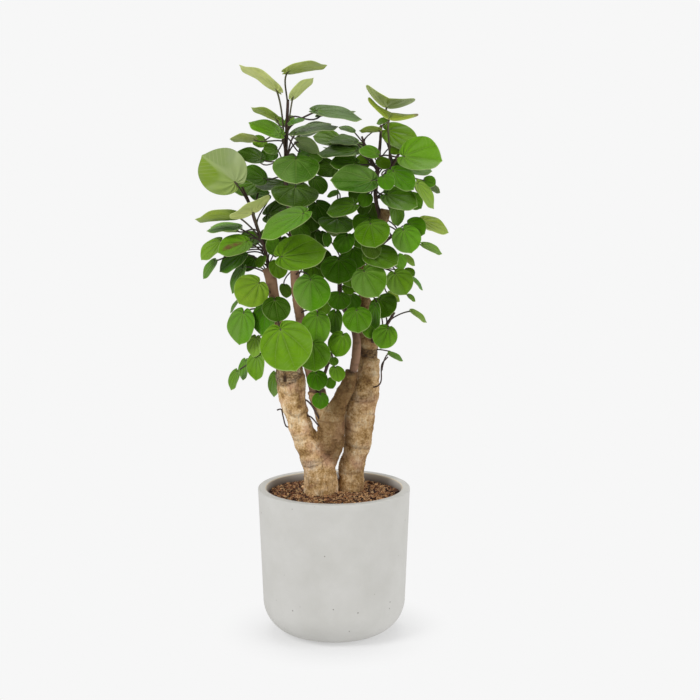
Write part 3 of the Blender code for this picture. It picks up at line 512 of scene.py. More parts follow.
@dataclass
class RoomSearch:
    """Search for a depth and a root at which each leaf and its stalk have room."""

    blade: BladeForm = field(default_factory=BladeForm)
    stalk: StalkForm = field(default_factory=StalkForm)
    spare: float = 1.1 * MM
    ball_spare: float = 4.0 * MM
    wood_sides: int = 10
    depth_steps: int = 12
    depth_step: float = 6.0
    root_spacing: float = 9.0 * MM
    roots_below: int = 3
    root_tries: int = 9
    back_from: float = 46.0
    back_share: float = 0.80
    back_depth: tuple = (50.0, 110.0)
    back_turn: float = 20.0
    back_roll: float = 12.0
    back_pitch: float = -60.0
    wood_share: float = 1.1
    stalk_share: float = 0.55
    stalk_least: float = 18.0
    fall_cost: float = 0.6
    reach_cost: float = 0.3
    placed: list[Placed] = field(default_factory=list)

    def fan_tree(self, blade: Blade) -> BVHTree:
        """Search tree of the blade with room to spare on both faces.

        Args:
            blade: the blade.

        Returns:
            The tree.
        """
        corners = blade.corners()
        count = len(corners)
        lift = blade.normal * self.spare
        places = [corner + lift for corner in corners] + [corner - lift for corner in corners]
        around = list(range(1, count))
        faces = []
        for near, far in zip(around, around[1:] + around[:1]):
            faces.append((0, far, near))
            faces.append((count, count + near, count + far))
            faces.append((near, far, count + far, count + near))
        return BVHTree.FromPolygons(places, faces)

    def rod_tree(self, points: list[Vector], radii: list[float], sides: int) -> BVHTree:
        """Search tree of a rod along the points.

        Args:
            points: its axis.
            radii: its radius at each point.
            sides: the number of its sides.

        Returns:
            The tree.
        """
        places = []
        for index, point in enumerate(points):
            ahead = points[min(index + 1, len(points) - 1)] - points[max(index - 1, 0)]
            across = ahead.orthogonal().normalized()
            other = across.cross(ahead).normalized()
            for corner in range(sides):
                angle = math.tau * corner / sides
                spoke = across * math.cos(angle) + other * math.sin(angle)
                places.append(point + spoke * radii[index])
        return BVHTree.FromPolygons(places, ring_faces(len(points), sides))

    def enclose(self, node: str, kind: str, points: list[Vector], tree: BVHTree) -> Placed:
        """Record of a shape with the ball that holds it.

        Args:
            node: the piece that it belongs to.
            kind: blade, stalk or stem.
            points: points that the ball holds.
            tree: its search tree.

        Returns:
            The record.
        """
        centre = sum(points, Vector()) / len(points)
        reach = max((point - centre).length for point in points) + self.ball_spare
        return Placed(node, kind, centre, reach, tree)

    def stem_shape(self, node: str, rows: Rows) -> Placed:
        """Record of a stem or a trunk.

        Args:
            node: the piece that it belongs to.
            rows: its table rows.

        Returns:
            The record.
        """
        points = stem_points(rows)
        places = [place for place, _ in points]
        radii = [radius * MM * self.wood_share + self.spare for _, radius in points]
        wide = self.enclose(node, "stem", places, self.rod_tree(places, radii, self.wood_sides))
        return wide._replace(reach=wide.reach + max(radii))

    def is_clear(self, shape: Placed, strict: bool) -> bool:
        """Whether a shape crosses no other; in its own node the stem and stalk on stalk don't count.

        Args:
            shape: the shape to test.
            strict: whether anything else of its own node counts.

        Returns:
            True where it is clear.
        """
        for other in self.placed:
            if other.node == shape.node and (not strict or other.kind == shape.kind == "stalk"):
                continue
            if other.node == shape.node and other.kind == "stem":
                continue
            if (other.centre - shape.centre).length > other.reach + shape.reach:
                continue
            if shape.tree.overlap(other.tree):
                return False
        return True

    def stem_roots(self, stems: list[Rows]) -> list[tuple[Vector, Vector]]:
        """Places along the stems where a stalk can grow, each with the stem's direction.

        Args:
            stems: the table rows of each stem.

        Returns:
            The places and directions.
        """
        roots = []
        for rows in stems:
            points = stem_points(rows)
            for (start, _), (end, _) in zip(points, points[1:]):
                run = end - start
                count = max(1, round(run.length / self.root_spacing))
                for index in range(1, count + 1):
                    roots.append((start + run * index / count, run.normalized()))
        return roots[self.roots_below:-1]

    def root_cost(self, root: Vector, blade: Blade, leaf: Leaf) -> float:
        """How ill a root suits a blade: a stalk rises, and is as long as read or about as its blade.

        Args:
            root: a place on the stem.
            blade: the blade.
            leaf: the leaf as it is read.

        Returns:
            The cost in metres.
        """
        reach = (blade.base - root).length
        ideal = (leaf.stalk or self.stalk_share * leaf.width + self.stalk_least) * MM
        fall = max(0.0, root.z - blade.base.z)
        return abs(reach - ideal) + self.fall_cost * fall + self.reach_cost * reach

    def grow_leaf(self, node: str, leaf: Leaf, roots: list[tuple[Vector, Vector]]) -> Grown | None:
        """Place a leaf and its stalk.

        Args:
            node: the leafy stem that it belongs to.
            leaf: the leaf as it is read.
            roots: places where its stalk can grow.

        Returns:
            The leaf in its place, or None where there is no room.
        """
        shifts = [0.0]
        for step in range(1, self.depth_steps + 1):
            shifts += [step * self.depth_step, -step * self.depth_step]
        for strict in (True, False):
            for shift in shifts:
                blade = self.blade.outline(leaf, in_space(leaf.x, leaf.z, leaf.depth + shift))
                blade_shape = self.enclose(node, "blade", blade.corners()[1:], self.fan_tree(blade))
                if not self.is_clear(blade_shape, strict):
                    continue
                near = sorted(roots, key=lambda root: self.root_cost(root[0], blade, leaf))
                for root, direction in near[:self.root_tries]:
                    bend = self.stalk.bend(root, direction, blade, leaf.width)
                    points = self.stalk.points(bend, blade, leaf.width)
                    radius = self.stalk.thickness(leaf) * MM + self.spare
                    short = self.rod_tree(points[:-1], [radius] * (len(points) - 1), self.stalk.sides)
                    if strict and short.overlap(blade_shape.tree):
                        continue
                    tree = self.rod_tree(points, [radius] * len(points), self.stalk.sides)
                    stalk_shape = self.enclose(node, "stalk", points, tree)
                    if self.is_clear(stalk_shape, strict):
                        self.placed += [blade_shape, stalk_shape]
                        return Grown(leaf, blade, bend)
        return None

    def back_leaves(self, leaves: list[Leaf], draw: random.Random) -> list[Leaf]:
        """Leaves of the hidden side: behind each large leaf in front, a smaller one that faces back.

        Args:
            leaves: the leaves in front.
            draw: the source of random numbers.

        Returns:
            The leaves.
        """
        result = []
        for leaf in leaves:
            depth = draw.uniform(*self.back_depth)
            clock = (leaf.clock + draw.uniform(-self.back_turn, self.back_turn)) % 360
            roll = 180 - leaf.roll + draw.uniform(-self.back_roll, self.back_roll)
            if leaf.width > self.back_from and leaf.roll <= 90 and leaf.pitch > self.back_pitch:
                width = leaf.width * self.back_share
                result.append(Leaf(leaf.x, leaf.z, depth, width, clock, -leaf.pitch * 0.5, roll, leaf.tone))
        return result

    def grow_all(self) -> dict[str, list[Grown]]:
        """Place every leaf of every leafy stem where it has room, the widest first and the fillers last.

        Returns:
            The leaves that have a place, by leafy stem.
        """
        for name, limbs in (("trunk_left", TRUNK_LEFT), ("trunk_right", TRUNK_RIGHT)):
            self.placed += [self.stem_shape(name, rows) for rows in limbs]
        for name, (stems, _) in SPRAYS.items():
            self.placed += [self.stem_shape(name, rows) for rows in stems]
        draw = random.Random(PLACE_SEED)
        waiting = [(name, leaf) for name, (_, leaves) in SPRAYS.items() for leaf in leaves]
        waiting.sort(key=lambda row: -row[1].width)
        for name, (_, leaves) in SPRAYS.items():
            waiting += [(name, leaf) for leaf in self.back_leaves(leaves, draw)]
        waiting += [(name, leaf) for name, leaves in FILLERS.items() for leaf in leaves]
        roots = {name: self.stem_roots(stems) for name, (stems, _) in SPRAYS.items()}
        grown = {name: [] for name in SPRAYS}
        for name, leaf in waiting:
            found = self.grow_leaf(name, leaf, roots[name])
            if found:
                grown[name].append(found)
        return grown


class MeshGatherer:
    """Gathers many small forms, with values at their vertices, into one mesh."""

    def __init__(self) -> None:
        """Start empty."""
        self.places: list[np.ndarray] = []
        self.faces: Faces = []
        self.slots: list[int] = []
        self.values: dict[str, list[np.ndarray]] = {}
        self.count = 0

    def add(self, places: np.ndarray, faces: Faces, slots: list[int] | int = 0,
            **values: np.ndarray | float) -> None:
        """Add one form.

        Args:
            places: its vertices, in metres.
            faces: its faces by vertex number.
            slots: the material slot of each face, or of all.
            values: a number, or one or two numbers a vertex, for each named attribute.
        """
        size = len(places)
        self.places.append(np.asarray(places, dtype=float))
        self.faces.extend(tuple(corner + self.count for corner in face) for face in faces)
        self.slots.extend([slots] * len(faces) if isinstance(slots, int) else slots)
        for name, value in values.items():
            rows = np.full(size, value) if np.isscalar(value) else np.asarray(value, dtype=float)
            self.values.setdefault(name, []).append(rows)
        self.count += size

    def build(self, name: str, materials: list[bpy.types.Material], sharp: float = 60.0) -> bpy.types.Object:
        """Make the object.

        Args:
            name: its name.
            materials: its material slots.
            sharp: the angle in degrees from which an edge stays sharp.

        Returns:
            The object, linked to the scene.
        """
        mesh = bpy.data.meshes.new(name)
        mesh.from_pydata(np.concatenate(self.places).tolist(), [], self.faces)
        for material in materials:
            mesh.materials.append(material)
        mesh.polygons.foreach_set("material_index", self.slots)
        corners = np.empty(len(mesh.loops), dtype=np.int32)
        mesh.loops.foreach_get("vertex_index", corners)
        for label, rows in self.values.items():
            value = np.concatenate(rows)
            if value.ndim == 2:
                layer = mesh.uv_layers.new(name=label)
                layer.uv.foreach_set("vector", value[corners].ravel())
            else:
                layer = mesh.attributes.new(label, "FLOAT", "POINT")
                layer.data.foreach_set("value", value)
        mesh.shade_smooth()
        mesh.set_sharp_from_angle(angle=math.radians(sharp))
        mesh.validate()
        item = bpy.data.objects.new(name, mesh)
        bpy.context.scene.collection.objects.link(item)
        return item


def finish_piece(piece: bpy.types.Object, slot: str, *nodes: str) -> None:
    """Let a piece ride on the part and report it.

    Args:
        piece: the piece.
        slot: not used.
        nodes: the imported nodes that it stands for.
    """
    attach(piece, "root")
    if nodes:
        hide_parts(*nodes)
    log.info("%s: %d faces", piece.name, len(piece.data.polygons))


def smooth_path(points: Path, step: float) -> Path:
    """Lay a smooth curve through a path.

    Args:
        points: places with their radii.
        step: the distance between the curve's own points, in metres.

    Returns:
        The curve's places with their radii.
    """
    rows = [np.array((*place, radius)) for place, radius in points]
    rows = [2 * rows[0] - rows[1], *rows, 2 * rows[-1] - rows[-2]]
    result = []
    for before, start, end, after in zip(rows, rows[1:], rows[2:], rows[3:]):
        count = max(1, round(np.linalg.norm((end - start)[:3]) / step))
        for index in range(count):
            share = index / count
            row = 0.5 * (2 * start + (end - before) * share
                         + (2 * before - 5 * start + 4 * end - after) * share ** 2
                         + (3 * start - before - 3 * end + after) * share ** 3)
            result.append((Vector(row[:3]), float(row[3])))
    result.append((Vector(rows[-2][:3]), float(rows[-2][3])))
    return result


def ring_faces(rings: int, sides: int, first: int = 0, flip: bool = False) -> Faces:
    """Join rings of vertices that lie one after the other.

    Args:
        rings: how many there are.
        sides: the number of vertices in each.
        first: the first vertex's number.
        flip: whether the faces look to the other side.

    Returns:
        The faces, which look out where rings that run counterclockwise lie one above the other.
    """
    faces = []
    for low in range(first, first + (rings - 1) * sides, sides):
        for corner in range(sides):
            beside = (corner + 1) % sides
            face = (low + corner, low + beside, low + sides + beside, low + sides + corner)
            faces.append((face[0], *face[:0:-1]) if flip else face)
    return faces


def tube(path: Path, sides: int, relief: Relief | None = None) -> tuple[np.ndarray, Faces, np.ndarray]:
    """Sweep a round section along a path, closed at both ends.

    Args:
        path: places with their radii in millimetres.
        sides: the number of corners round the section.
        relief: a function of the length so far in metres and the angles round, that gives shares to
            grow the radius by.

    Returns:
        The vertices, the faces and each vertex's share of the way.
    """
    places = []
    angles = np.arange(sides) * math.tau / sides
    aside = (path[1][0] - path[0][0]).orthogonal().normalized()
    run = 0.0
    for index, (place, radius) in enumerate(path):
        ahead = (path[min(index + 1, len(path) - 1)][0] - path[max(index - 1, 0)][0]).normalized()
        aside = (aside - ahead * aside.dot(ahead)).normalized()
        other = ahead.cross(aside)
        run += (place - path[max(index - 1, 0)][0]).length
        grow = 1.0 + relief(run, angles) if relief else 1.0
        spokes = np.outer(np.cos(angles), aside) + np.outer(np.sin(angles), other)
        places.append(np.array(place) + spokes * (radius * MM * grow * np.ones(sides))[:, None])
    last = (len(path) - 1) * sides
    faces = [tuple(range(sides - 1, -1, -1)), *ring_faces(len(path), sides), tuple(range(last, last + sides))]
    shares = np.repeat(np.linspace(0.0, 1.0, len(path)), sides)
    return np.concatenate(places), faces, shares


@dataclass(frozen=True)
class LeafGrid:
    """The net of columns and rings that a fine blade is drawn on, with the veins on its columns."""

    steps: int
    rings: int
    veins: tuple = (0.0, 27.0, 57.0, 92.0, 128.0, 158.0)

    def columns(self) -> tuple[np.ndarray, np.ndarray]:
        """Place the columns at the rim.

        Returns:
            The angles in radians and the vein numbers.
        """
        half = round((len(self.veins) - 1.5) * self.steps)
        numbers = np.arange(-half, half + 1) / self.steps
        knots = [*range(len(self.veins) - 1), len(self.veins) - 1.5]
        angles = np.interp(np.abs(numbers), knots, np.radians(self.veins)) * np.sign(numbers)
        return angles, numbers

    def faces(self) -> tuple[Faces, list[int]]:
        """Join both sides and the rim.

        Returns:
            The faces by vertex number, and each one's material slot.
        """
        count = len(self.columns()[0])
        rings = self.rings
        grid = 1 + np.arange(count * rings).reshape(count, rings)
        lower = 1 + count * rings
        upper = [(0, grid[c + 1, 0], grid[c, 0]) for c in range(count - 1)]
        upper += [(grid[c + 1, r], grid[c + 1, r + 1], grid[c, r + 1], grid[c, r])
                  for c in range(count - 1) for r in range(rings - 1)]
        below = [tuple(corner + lower for corner in reversed(face)) for face in upper]
        loop = [0, *grid[-1, :], *grid[-2::-1, -1], *grid[0, -2::-1]]
        rim = [(a, a + lower, b + lower, b) for a, b in zip(loop, loop[1:] + loop[:1])]
        faces = [tuple(int(corner) for corner in face) for face in upper + below + rim]
        return faces, [0] * len(upper) + [1] * (len(below) + len(rim))


@dataclass
class LeafMaker:
    """Makes fine leaves and their stalks; sizes are in leaf widths unless they are in millimetres."""

    form: BladeForm = field(default_factory=BladeForm)
    stalk: StalkForm = field(default_factory=StalkForm)
    half_across: float = 0.5
    fan: float = math.radians(27.0)
    corner_from: float = math.radians(140.0)
    corner_span: float = math.radians(18.0)
    corner_loss: float = 0.3
    tip: float = 0.06
    tip_span: float = math.radians(5.0)
    quilt: float = 0.021
    quilt_reach: float = 1.04
    quilt_power: float = 0.7
    rim_wave: float = 0.006
    rim_waves: tuple = (4, 5, 6, 7)
    map_middle: tuple = (0.5, 0.35)
    vein_middle: float = 5.0
    half_slant: float = 0.64
    thickness: float = 0.6
    grids: tuple = ((50.0, LeafGrid(6, 13)), (30.0, LeafGrid(4, 9)), (0.0, LeafGrid(2, 6)))
    stalk_points: int = 11
    stalk_sides: int = 7
    hue_shift: tuple = (-0.018, 0.012)
    sheath: float = 0.9
    sheath_share: float = 0.13
    swelling: float = 0.15
    tuck: float = 0.03
    tuck_below: float = 0.4 * MM
    tuck_radius: float = 0.5
    tone_shift: float = 0.07
    draw: random.Random = field(default_factory=lambda: random.Random(FORM_SEED))

    def flat(self, grid: LeafGrid) -> tuple[np.ndarray, np.ndarray, np.ndarray, np.ndarray]:
        """Lay the net flat.

        Args:
            grid: the net.

        Returns:
            Along and across of each point after the middle, its vein number and its share of the way out.
        """
        angles, numbers = grid.columns()
        half_along = self.half_across * self.form.length
        cosine = np.cos(angles)
        square = (cosine / half_along) ** 2 + (np.sin(angles) / self.half_across) ** 2
        linear_term = -2 * self.form.notch * cosine / half_along ** 2
        rest = (self.form.notch / half_along) ** 2 - 1
        reach = (-linear_term + np.sqrt(linear_term ** 2 - 4 * square * rest)) / (2 * square)
        past = np.clip((np.abs(angles) - self.corner_from) / self.corner_span, 0, 1)
        reach *= 1 - self.corner_loss * past ** 2 + self.tip * np.exp(-np.abs(angles) / self.tip_span)
        shares = np.arange(1, grid.rings + 1) / grid.rings
        spread = self.fan * np.sin(np.minimum(np.abs(angles), math.pi / 2)) * np.sign(angles)
        turned = angles[:, None] + spread[:, None] * (1 - shares)
        length = reach[:, None] * shares
        veins = np.repeat(numbers, grid.rings)
        return ((length * np.cos(turned)).ravel(), (length * np.sin(turned)).ravel(), veins,
                np.tile(shares, len(numbers)))

    def relief(self, along: np.ndarray, across: np.ndarray, veins: np.ndarray,
               shares: np.ndarray, fold: float) -> np.ndarray:
        """Height of a blade with its sunken veins and its uneven rim.

        Args:
            along: places along the midrib, in widths.
            across: places to the side, in widths.
            veins: vein numbers.
            shares: shares of the way out to the rim.
            fold: how steeply both halves rise from the midrib.

        Returns:
            The heights in widths.
        """
        between = np.abs(veins - np.round(veins))
        window = np.sin(math.pi * np.clip(shares * self.quilt_reach, 0, 1)) ** self.quilt_power
        swell = self.quilt * (np.sin(math.pi * between) - 0.5) * window
        turn = np.arctan2(across, along - self.form.wave_middle)
        waves = self.draw.choice(self.rim_waves)
        start = self.draw.uniform(0, math.tau)
        ripple = self.rim_wave * shares ** 3 * np.sin(waves * turn + start)
        return self.form.height(along, across, fold) + swell + ripple

    def add_blade(self, gatherer: MeshGatherer, grown: Grown) -> None:
        """Add the fine blade of a leaf that has its place.

        Args:
            gatherer: what it goes into.
            grown: the leaf in its place.
        """
        leaf, blade, _ = grown
        grid = next(net for least, net in self.grids if leaf.width > least)
        along, across, veins, shares = self.flat(grid)
        height = self.relief(along, across, veins, shares, leaf.fold)
        side = np.array(blade.midrib.cross(blade.normal))
        local = (np.outer(along, blade.midrib) + np.outer(across, side) + np.outer(height, blade.normal))
        top = np.vstack((np.zeros(3), local)) * leaf.width * MM + np.array(blade.base)
        lift = np.array(blade.normal) * self.thickness * MM / 2
        faces, slots = grid.faces()
        count = len(top)
        flat_map = np.column_stack((np.append(0, across), np.append(0, along))) + self.map_middle
        # The accent's painted sheen and brown scorch, stored at each vertex
        mist, scorch = self.accent(leaf.accent, along, across, veins, shares)
        if leaf.accent is HALVES:
            veins, shares = across, (along - self.half_slant * np.abs(across)) / self.form.length
        vein_map = np.column_stack((np.append(0, veins) + self.vein_middle, np.append(0, shares)))
        tone = leaf.tone.value + self.draw.uniform(-self.tone_shift, self.tone_shift)
        hue = 0.5 + self.draw.uniform(*self.hue_shift)
        gatherer.add(np.vstack((top + lift, top - lift)), faces, slots,
                     UVMap=np.vstack((flat_map, flat_map)), veins=np.vstack((vein_map, vein_map)),
                     tone=tone, hue=hue, mist=np.tile(np.append(0, mist), 2),
                     scorch=np.tile(np.append(0, scorch), 2))

    def accent(self, accent: Accent, along: np.ndarray, across: np.ndarray, veins: np.ndarray,
               shares: np.ndarray) -> tuple[np.ndarray, np.ndarray]:
        """Painted sheen over a blade and how scorched it is, from 0 to 1 at each of its points.

        Args:
            accent: what sets the leaf apart.
            along: places along the midrib, in widths.
            across: places to the side, in widths.
            veins: vein numbers.
            shares: shares of the way out to the rim.

        Returns:
            The painted sheen and the scorch.
        """
        mist = np.zeros(len(along))
        scorch = np.zeros(len(along))
        # Painted sheen: the half beyond the midrib is pale
        if accent is HALVES:
            mist = np.clip(0.5 - across / 0.03, 0, 1)
        # Painted sheen on one side, and a brown patch follows the midrib
        if accent is STRIPE:
            mist = np.clip(0.1 - 2.5 * across, 0, 0.8)
            scorch = np.clip(1.25 - np.abs(across - 0.04) / 0.17, 0, 1.15)
            scorch *= np.clip(1.5 - np.abs(along - 0.4) / 0.35, 0, 1)
        # The outer end of one side is brown
        if accent is TIP:
            scorch = np.clip((across - 0.36) / 0.1, 0, 1)
        # Painted reflection of the pale sky, lying unevenly on a blade that is seen flat
        if accent is GREY:
            mist = 0.2 + 0.36 * shares * np.sin(1.7 * veins)
        # Painted sheen: the light lies on one side of the midrib
        if accent is SHEEN:
            mist = np.clip(0.2 + 1.4 * across + 0.25 * np.sin(2.9 * veins) * shares, 0, 0.75)
        return mist, scorch

    def add_stalk(self, gatherer: MeshGatherer, grown: Grown) -> None:
        """Add the stalk of a leaf, from the sheath on its stem to just inside the notch.

        Args:
            gatherer: what it goes into.
            grown: the leaf in its place.
        """
        leaf, blade, bend = grown
        radius = self.stalk.thickness(leaf)
        path = []
        for share in np.linspace(0.0, 1.0, self.stalk_points):
            sheath = self.sheath * max(0.0, 1.0 - share / self.sheath_share)
            grow = 1.0 + sheath + self.swelling * share ** 6
            path.append((curve_place(bend, share), radius * grow))
        inward = blade.midrib * leaf.width * MM * self.tuck
        path.append((blade.base + inward - blade.normal * self.tuck_below, radius * self.tuck_radius))
        places, faces, shares = tube(path, self.stalk_sides)
        gatherer.add(places, faces, 0, tone=shares, young=leaf.tone.value)


@dataclass
class RingScars:
    """Scars that fallen leaves leave on a stem: tilted shallow grooves, deeper on one side."""

    length: float
    gap: tuple
    draw: random.Random
    width: float = 1.5 * MM
    tilt: float = 2.4 * MM
    least: float = 0.7
    deeper: float = 0.6
    wander: float = 0.7 * MM
    first: tuple = (0.3, 1.0)
    tilts: tuple = (0.2, 1.0)
    strengths: tuple = (0.45, 1.0)

    def __post_init__(self) -> None:
        """Draw each scar's place, tilt and strength."""
        rows = []
        place = self.draw.uniform(*self.first) * self.gap[0] * MM
        while place < self.length:
            rows.append((place, self.draw.uniform(0, math.tau), self.draw.uniform(*self.tilts) * self.tilt,
                         self.draw.uniform(*self.strengths), self.draw.uniform(0, math.tau)))
            place += self.draw.uniform(*self.gap) * MM
        self.rows = np.array(rows).reshape(-1, 5)

    def depth(self, length: np.ndarray, angle: np.ndarray) -> np.ndarray:
        """How deep in a scar each place is, from 0 to 1.

        Args:
            length: lengths along the stem, in metres.
            angle: angles round it.

        Returns:
            The depths.
        """
        place, start, tilt, strength, side = self.rows.T
        middle = place + tilt * np.cos(angle[:, None] - start)
        wander = self.wander * np.sin(3 * angle[:, None] + 5 * start)
        near = np.exp(-((length[:, None] - middle - wander) / self.width) ** 2)
        reach = np.clip(self.least + self.deeper * np.cos(angle[:, None] - side), 0, 1)
        return (near * strength * reach).max(axis=1, initial=0.0)


@dataclass
class LeafyStem:
    """A leafy stem: its wood, its stalks and its leaves."""

    name: str
    grown: list[Grown]
    maker: LeafMaker
    step: float = 3.0 * MM
    sides: int = 16
    ring_gap: tuple = (7.0, 13.0)
    ring_width: float = 1.1 * MM
    ring_tilt: float = 1.2 * MM
    ring_rise: float = 0.05
    ring_depth: float = 0.13
    thin_radius: float = 4.6
    thick_more: float = 3.0

    def wood(self, gatherer: MeshGatherer) -> None:
        """Add the stem's wood, ringed by leaf scars.

        Args:
            gatherer: what it goes into.
        """
        for rows in SPRAYS[self.name][0]:
            path = smooth_path(stem_points(rows), self.step)
            steps = [(b[0] - a[0]).length for a, b in zip(path, path[1:])]
            scars = RingScars(sum(steps), self.ring_gap, self.maker.draw, width=self.ring_width,
                              tilt=self.ring_tilt)

            def relief(run: float, angles: np.ndarray) -> np.ndarray:
                """Share by which the radius grows at a length along the stem."""
                return self.ring_rise - self.ring_depth * scars.depth(np.full(len(angles), run), angles)

            places, faces, _ = tube(path, self.sides, relief)
            radii = np.repeat([radius for _, radius in path], self.sides)
            runs = np.concatenate(([0.0], np.cumsum(steps)))
            turn = np.tile(np.arange(self.sides) * math.tau / self.sides, len(path))
            groove = scars.depth(np.repeat(runs, self.sides), turn)
            thick = np.clip((radii - self.thin_radius) / self.thick_more, 0, 1)
            gatherer.add(places, faces, 1, tone=thick, young=groove)

    def build(self, finishes: "PlantFinishes") -> None:
        """Make the leaves and the stalks with the wood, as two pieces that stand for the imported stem.

        Args:
            finishes: the plant's finishes.
        """
        blades = MeshGatherer()
        sticks = MeshGatherer()
        self.wood(sticks)
        for grown in self.grown:
            self.maker.add_blade(blades, grown)
            self.maker.add_stalk(sticks, grown)
        leaves = blades.build(f"{self.name}_leaves", [finishes.upper, finishes.under])
        finish_piece(leaves, "leaf", self.name)
        stalks = sticks.build(f"{self.name}_stalks", [finishes.petiole, finishes.young_bark])
        finish_piece(stalks, "stem", self.name)


class Mark(NamedTuple):
    """A knot, hollow or cut on a trunk: its middle, half sizes, rise, darkness and the rise of its rings; the
    darkness is cut wood and painted shade in hollows.
    """

    x: float
    z: float
    depth: float
    half_x: float
    half_y: float
    half_z: float
    rise: float
    dark: float
    ripple: float = 0.0


class Seam(NamedTuple):
    """A seam over a trunk's front: its lowest point, half width, sag, lean, strength, and the height and
    darkness of the strip above it, painted shade with the dark cut wood of the left trunk's top.
    """

    x: float
    z: float
    half: float
    sag: float
    lean: float
    strength: float
    shade_band: float = 7.0
    shade: float = 0.3


@dataclass
class CutTrunk:
    """A thick trunk that was cut back, with its limbs, marks and thin twigs."""

    name: str
    limbs: list[Rows]
    twigs: list[Rows]
    marks: list[Mark]
    seams: list[Seam]
    shades: list[float]
    voxel: float = 1.3 * MM
    ease: float = 0.5
    ease_rounds: int = 4
    step: float = 3.0 * MM
    sides: int = 24
    ring_gap: tuple = (15.0, 32.0)
    ring_depth: float = 1.0
    ring_tilt: float = 5.0 * MM
    ring_least: float = 0.25
    shade_edge: float = 9.0
    seam_width: float = 1.6 * MM
    seam_fray: float = 1.5
    seam_sway: float = 1.2 * MM
    shade_band_fade: float = 3.0 * MM
    lump: float = 2.0
    lump_scale: float = 55.0
    lump_noise: tuple = (1.0, 2.0, 3)
    wrinkle: float = 0.6
    wrinkle_scale: tuple = (260.0, 260.0, 620.0)
    wrinkle_noise: tuple = (0.9, 2.1, 3)
    mark_edge: float = 1.25
    mark_fray: float = 0.3
    mark_rings: float = 1.7
    twig_step: float = 2.0 * MM
    twig_sides: int = 8
    twig_tone: float = 0.3
    draw: random.Random = field(default_factory=lambda: random.Random(FORM_SEED + 1))

    def solid(self) -> bpy.types.Mesh:
        """Sweep the limbs and melt them into one skin.

        Returns:
            The skin.
        """
        limbs = MeshGatherer()
        for rows in self.limbs:
            places, faces, _ = tube(smooth_path(stem_points(rows), self.step), self.sides)
            limbs.add(places, faces)
        item = limbs.build(f"{self.name}_core", [])
        remesh = item.modifiers.new("skin", "REMESH")
        remesh.mode = "VOXEL"
        remesh.voxel_size = self.voxel
        ease = item.modifiers.new("ease", "SMOOTH")
        ease.factor = self.ease
        ease.iterations = self.ease_rounds
        bpy.context.view_layer.update()
        graph = bpy.context.evaluated_depsgraph_get()
        mesh = bpy.data.meshes.new_from_object(item.evaluated_get(graph))
        bpy.data.objects.remove(item, do_unlink=True)
        return mesh

    def limb_values(self, places: np.ndarray) -> tuple[np.ndarray, np.ndarray]:
        """Ring the skin with scars and paint shade on it by the limb that it belongs to.

        Args:
            places: the skin's vertices.

        Returns:
            How deep in a scar each vertex is, and how much painted shade it takes.
        """
        count = len(places)
        best = np.full(count, np.inf)
        groove = np.zeros(count)
        shade = np.zeros(count)
        weight = np.full(count, NEARLY_NOTHING)
        for rows, limb_shade in zip(self.limbs, self.shades):
            path = smooth_path(stem_points(rows), self.step)
            axis = np.array([place for place, _ in path])
            radii = np.array([radius for _, radius in path]) * MM
            runs = np.concatenate(([0.0], np.cumsum(np.linalg.norm(np.diff(axis, axis=0), axis=1))))
            scars = RingScars(runs[-1], self.ring_gap, self.draw, tilt=self.ring_tilt, least=self.ring_least)
            apart = np.linalg.norm(places[:, None] - axis[None], axis=2)
            nearest = apart.argmin(axis=1)
            ratio = apart[np.arange(count), nearest] / radii[nearest]
            ahead = np.gradient(axis, axis=0)
            ahead /= np.linalg.norm(ahead, axis=1)[:, None]
            off = places - axis[nearest]
            run = runs[nearest] + (off * ahead[nearest]).sum(axis=1)
            depth = scars.depth(run, np.arctan2(off[:, 1], off[:, 0]))
            pull = np.exp(-self.shade_edge * ratio)
            shade += pull * limb_shade
            weight += pull
            closer = ratio < best
            groove[closer] = depth[closer]
            best[closer] = ratio[closer]
        return groove, shade / weight

    def seam_values(self, places: np.ndarray, normals: np.ndarray, lumps: np.ndarray, wrinkles: np.ndarray,
                    groove: np.ndarray) -> tuple[np.ndarray, np.ndarray]:
        """Draw the seams, broken by the wrinkles, with a rough dark strip above each, which is painted shade
        and at the left trunk's top dark cut wood.

        Args:
            places: the skin's vertices.
            normals: their normals.
            lumps: the coarse relief at each.
            wrinkles: the fine relief at each.
            groove: how deep in a scar each is.

        Returns:
            How deep in a scar or a seam each vertex is, and how dark it is painted, by shade and by cut wood.
        """
        dark = np.zeros(len(places))
        front = np.clip(0.3 - 1.5 * normals[:, 1], 0, 1)
        broken = np.clip(0.75 + 0.9 * wrinkles, 0.15, 1)
        uneven = np.clip(0.8 + 0.7 * wrinkles, 0, 1.2)
        for seam in self.seams:
            share = (places[:, 0] / MM - seam.x + self.seam_fray * wrinkles) / seam.half
            level = (seam.z + seam.sag * share ** 2 + seam.lean * share) * MM
            above = places[:, 2] - level - self.seam_sway * lumps
            within = seam.strength * front * np.clip(4.5 - 3.5 * np.abs(share), 0, 1)
            groove = np.maximum(groove, within * broken * np.exp(-(above / self.seam_width) ** 2))
            # The strip above the seam: painted shade, and dark cut wood at the left trunk's top
            shade_band = np.clip((seam.shade_band * MM - above) / self.shade_band_fade, 0, 1) * np.clip(above / MM, 0, 1)
            dark = np.maximum(dark, seam.shade * within * shade_band * uneven)
        return groove, dark

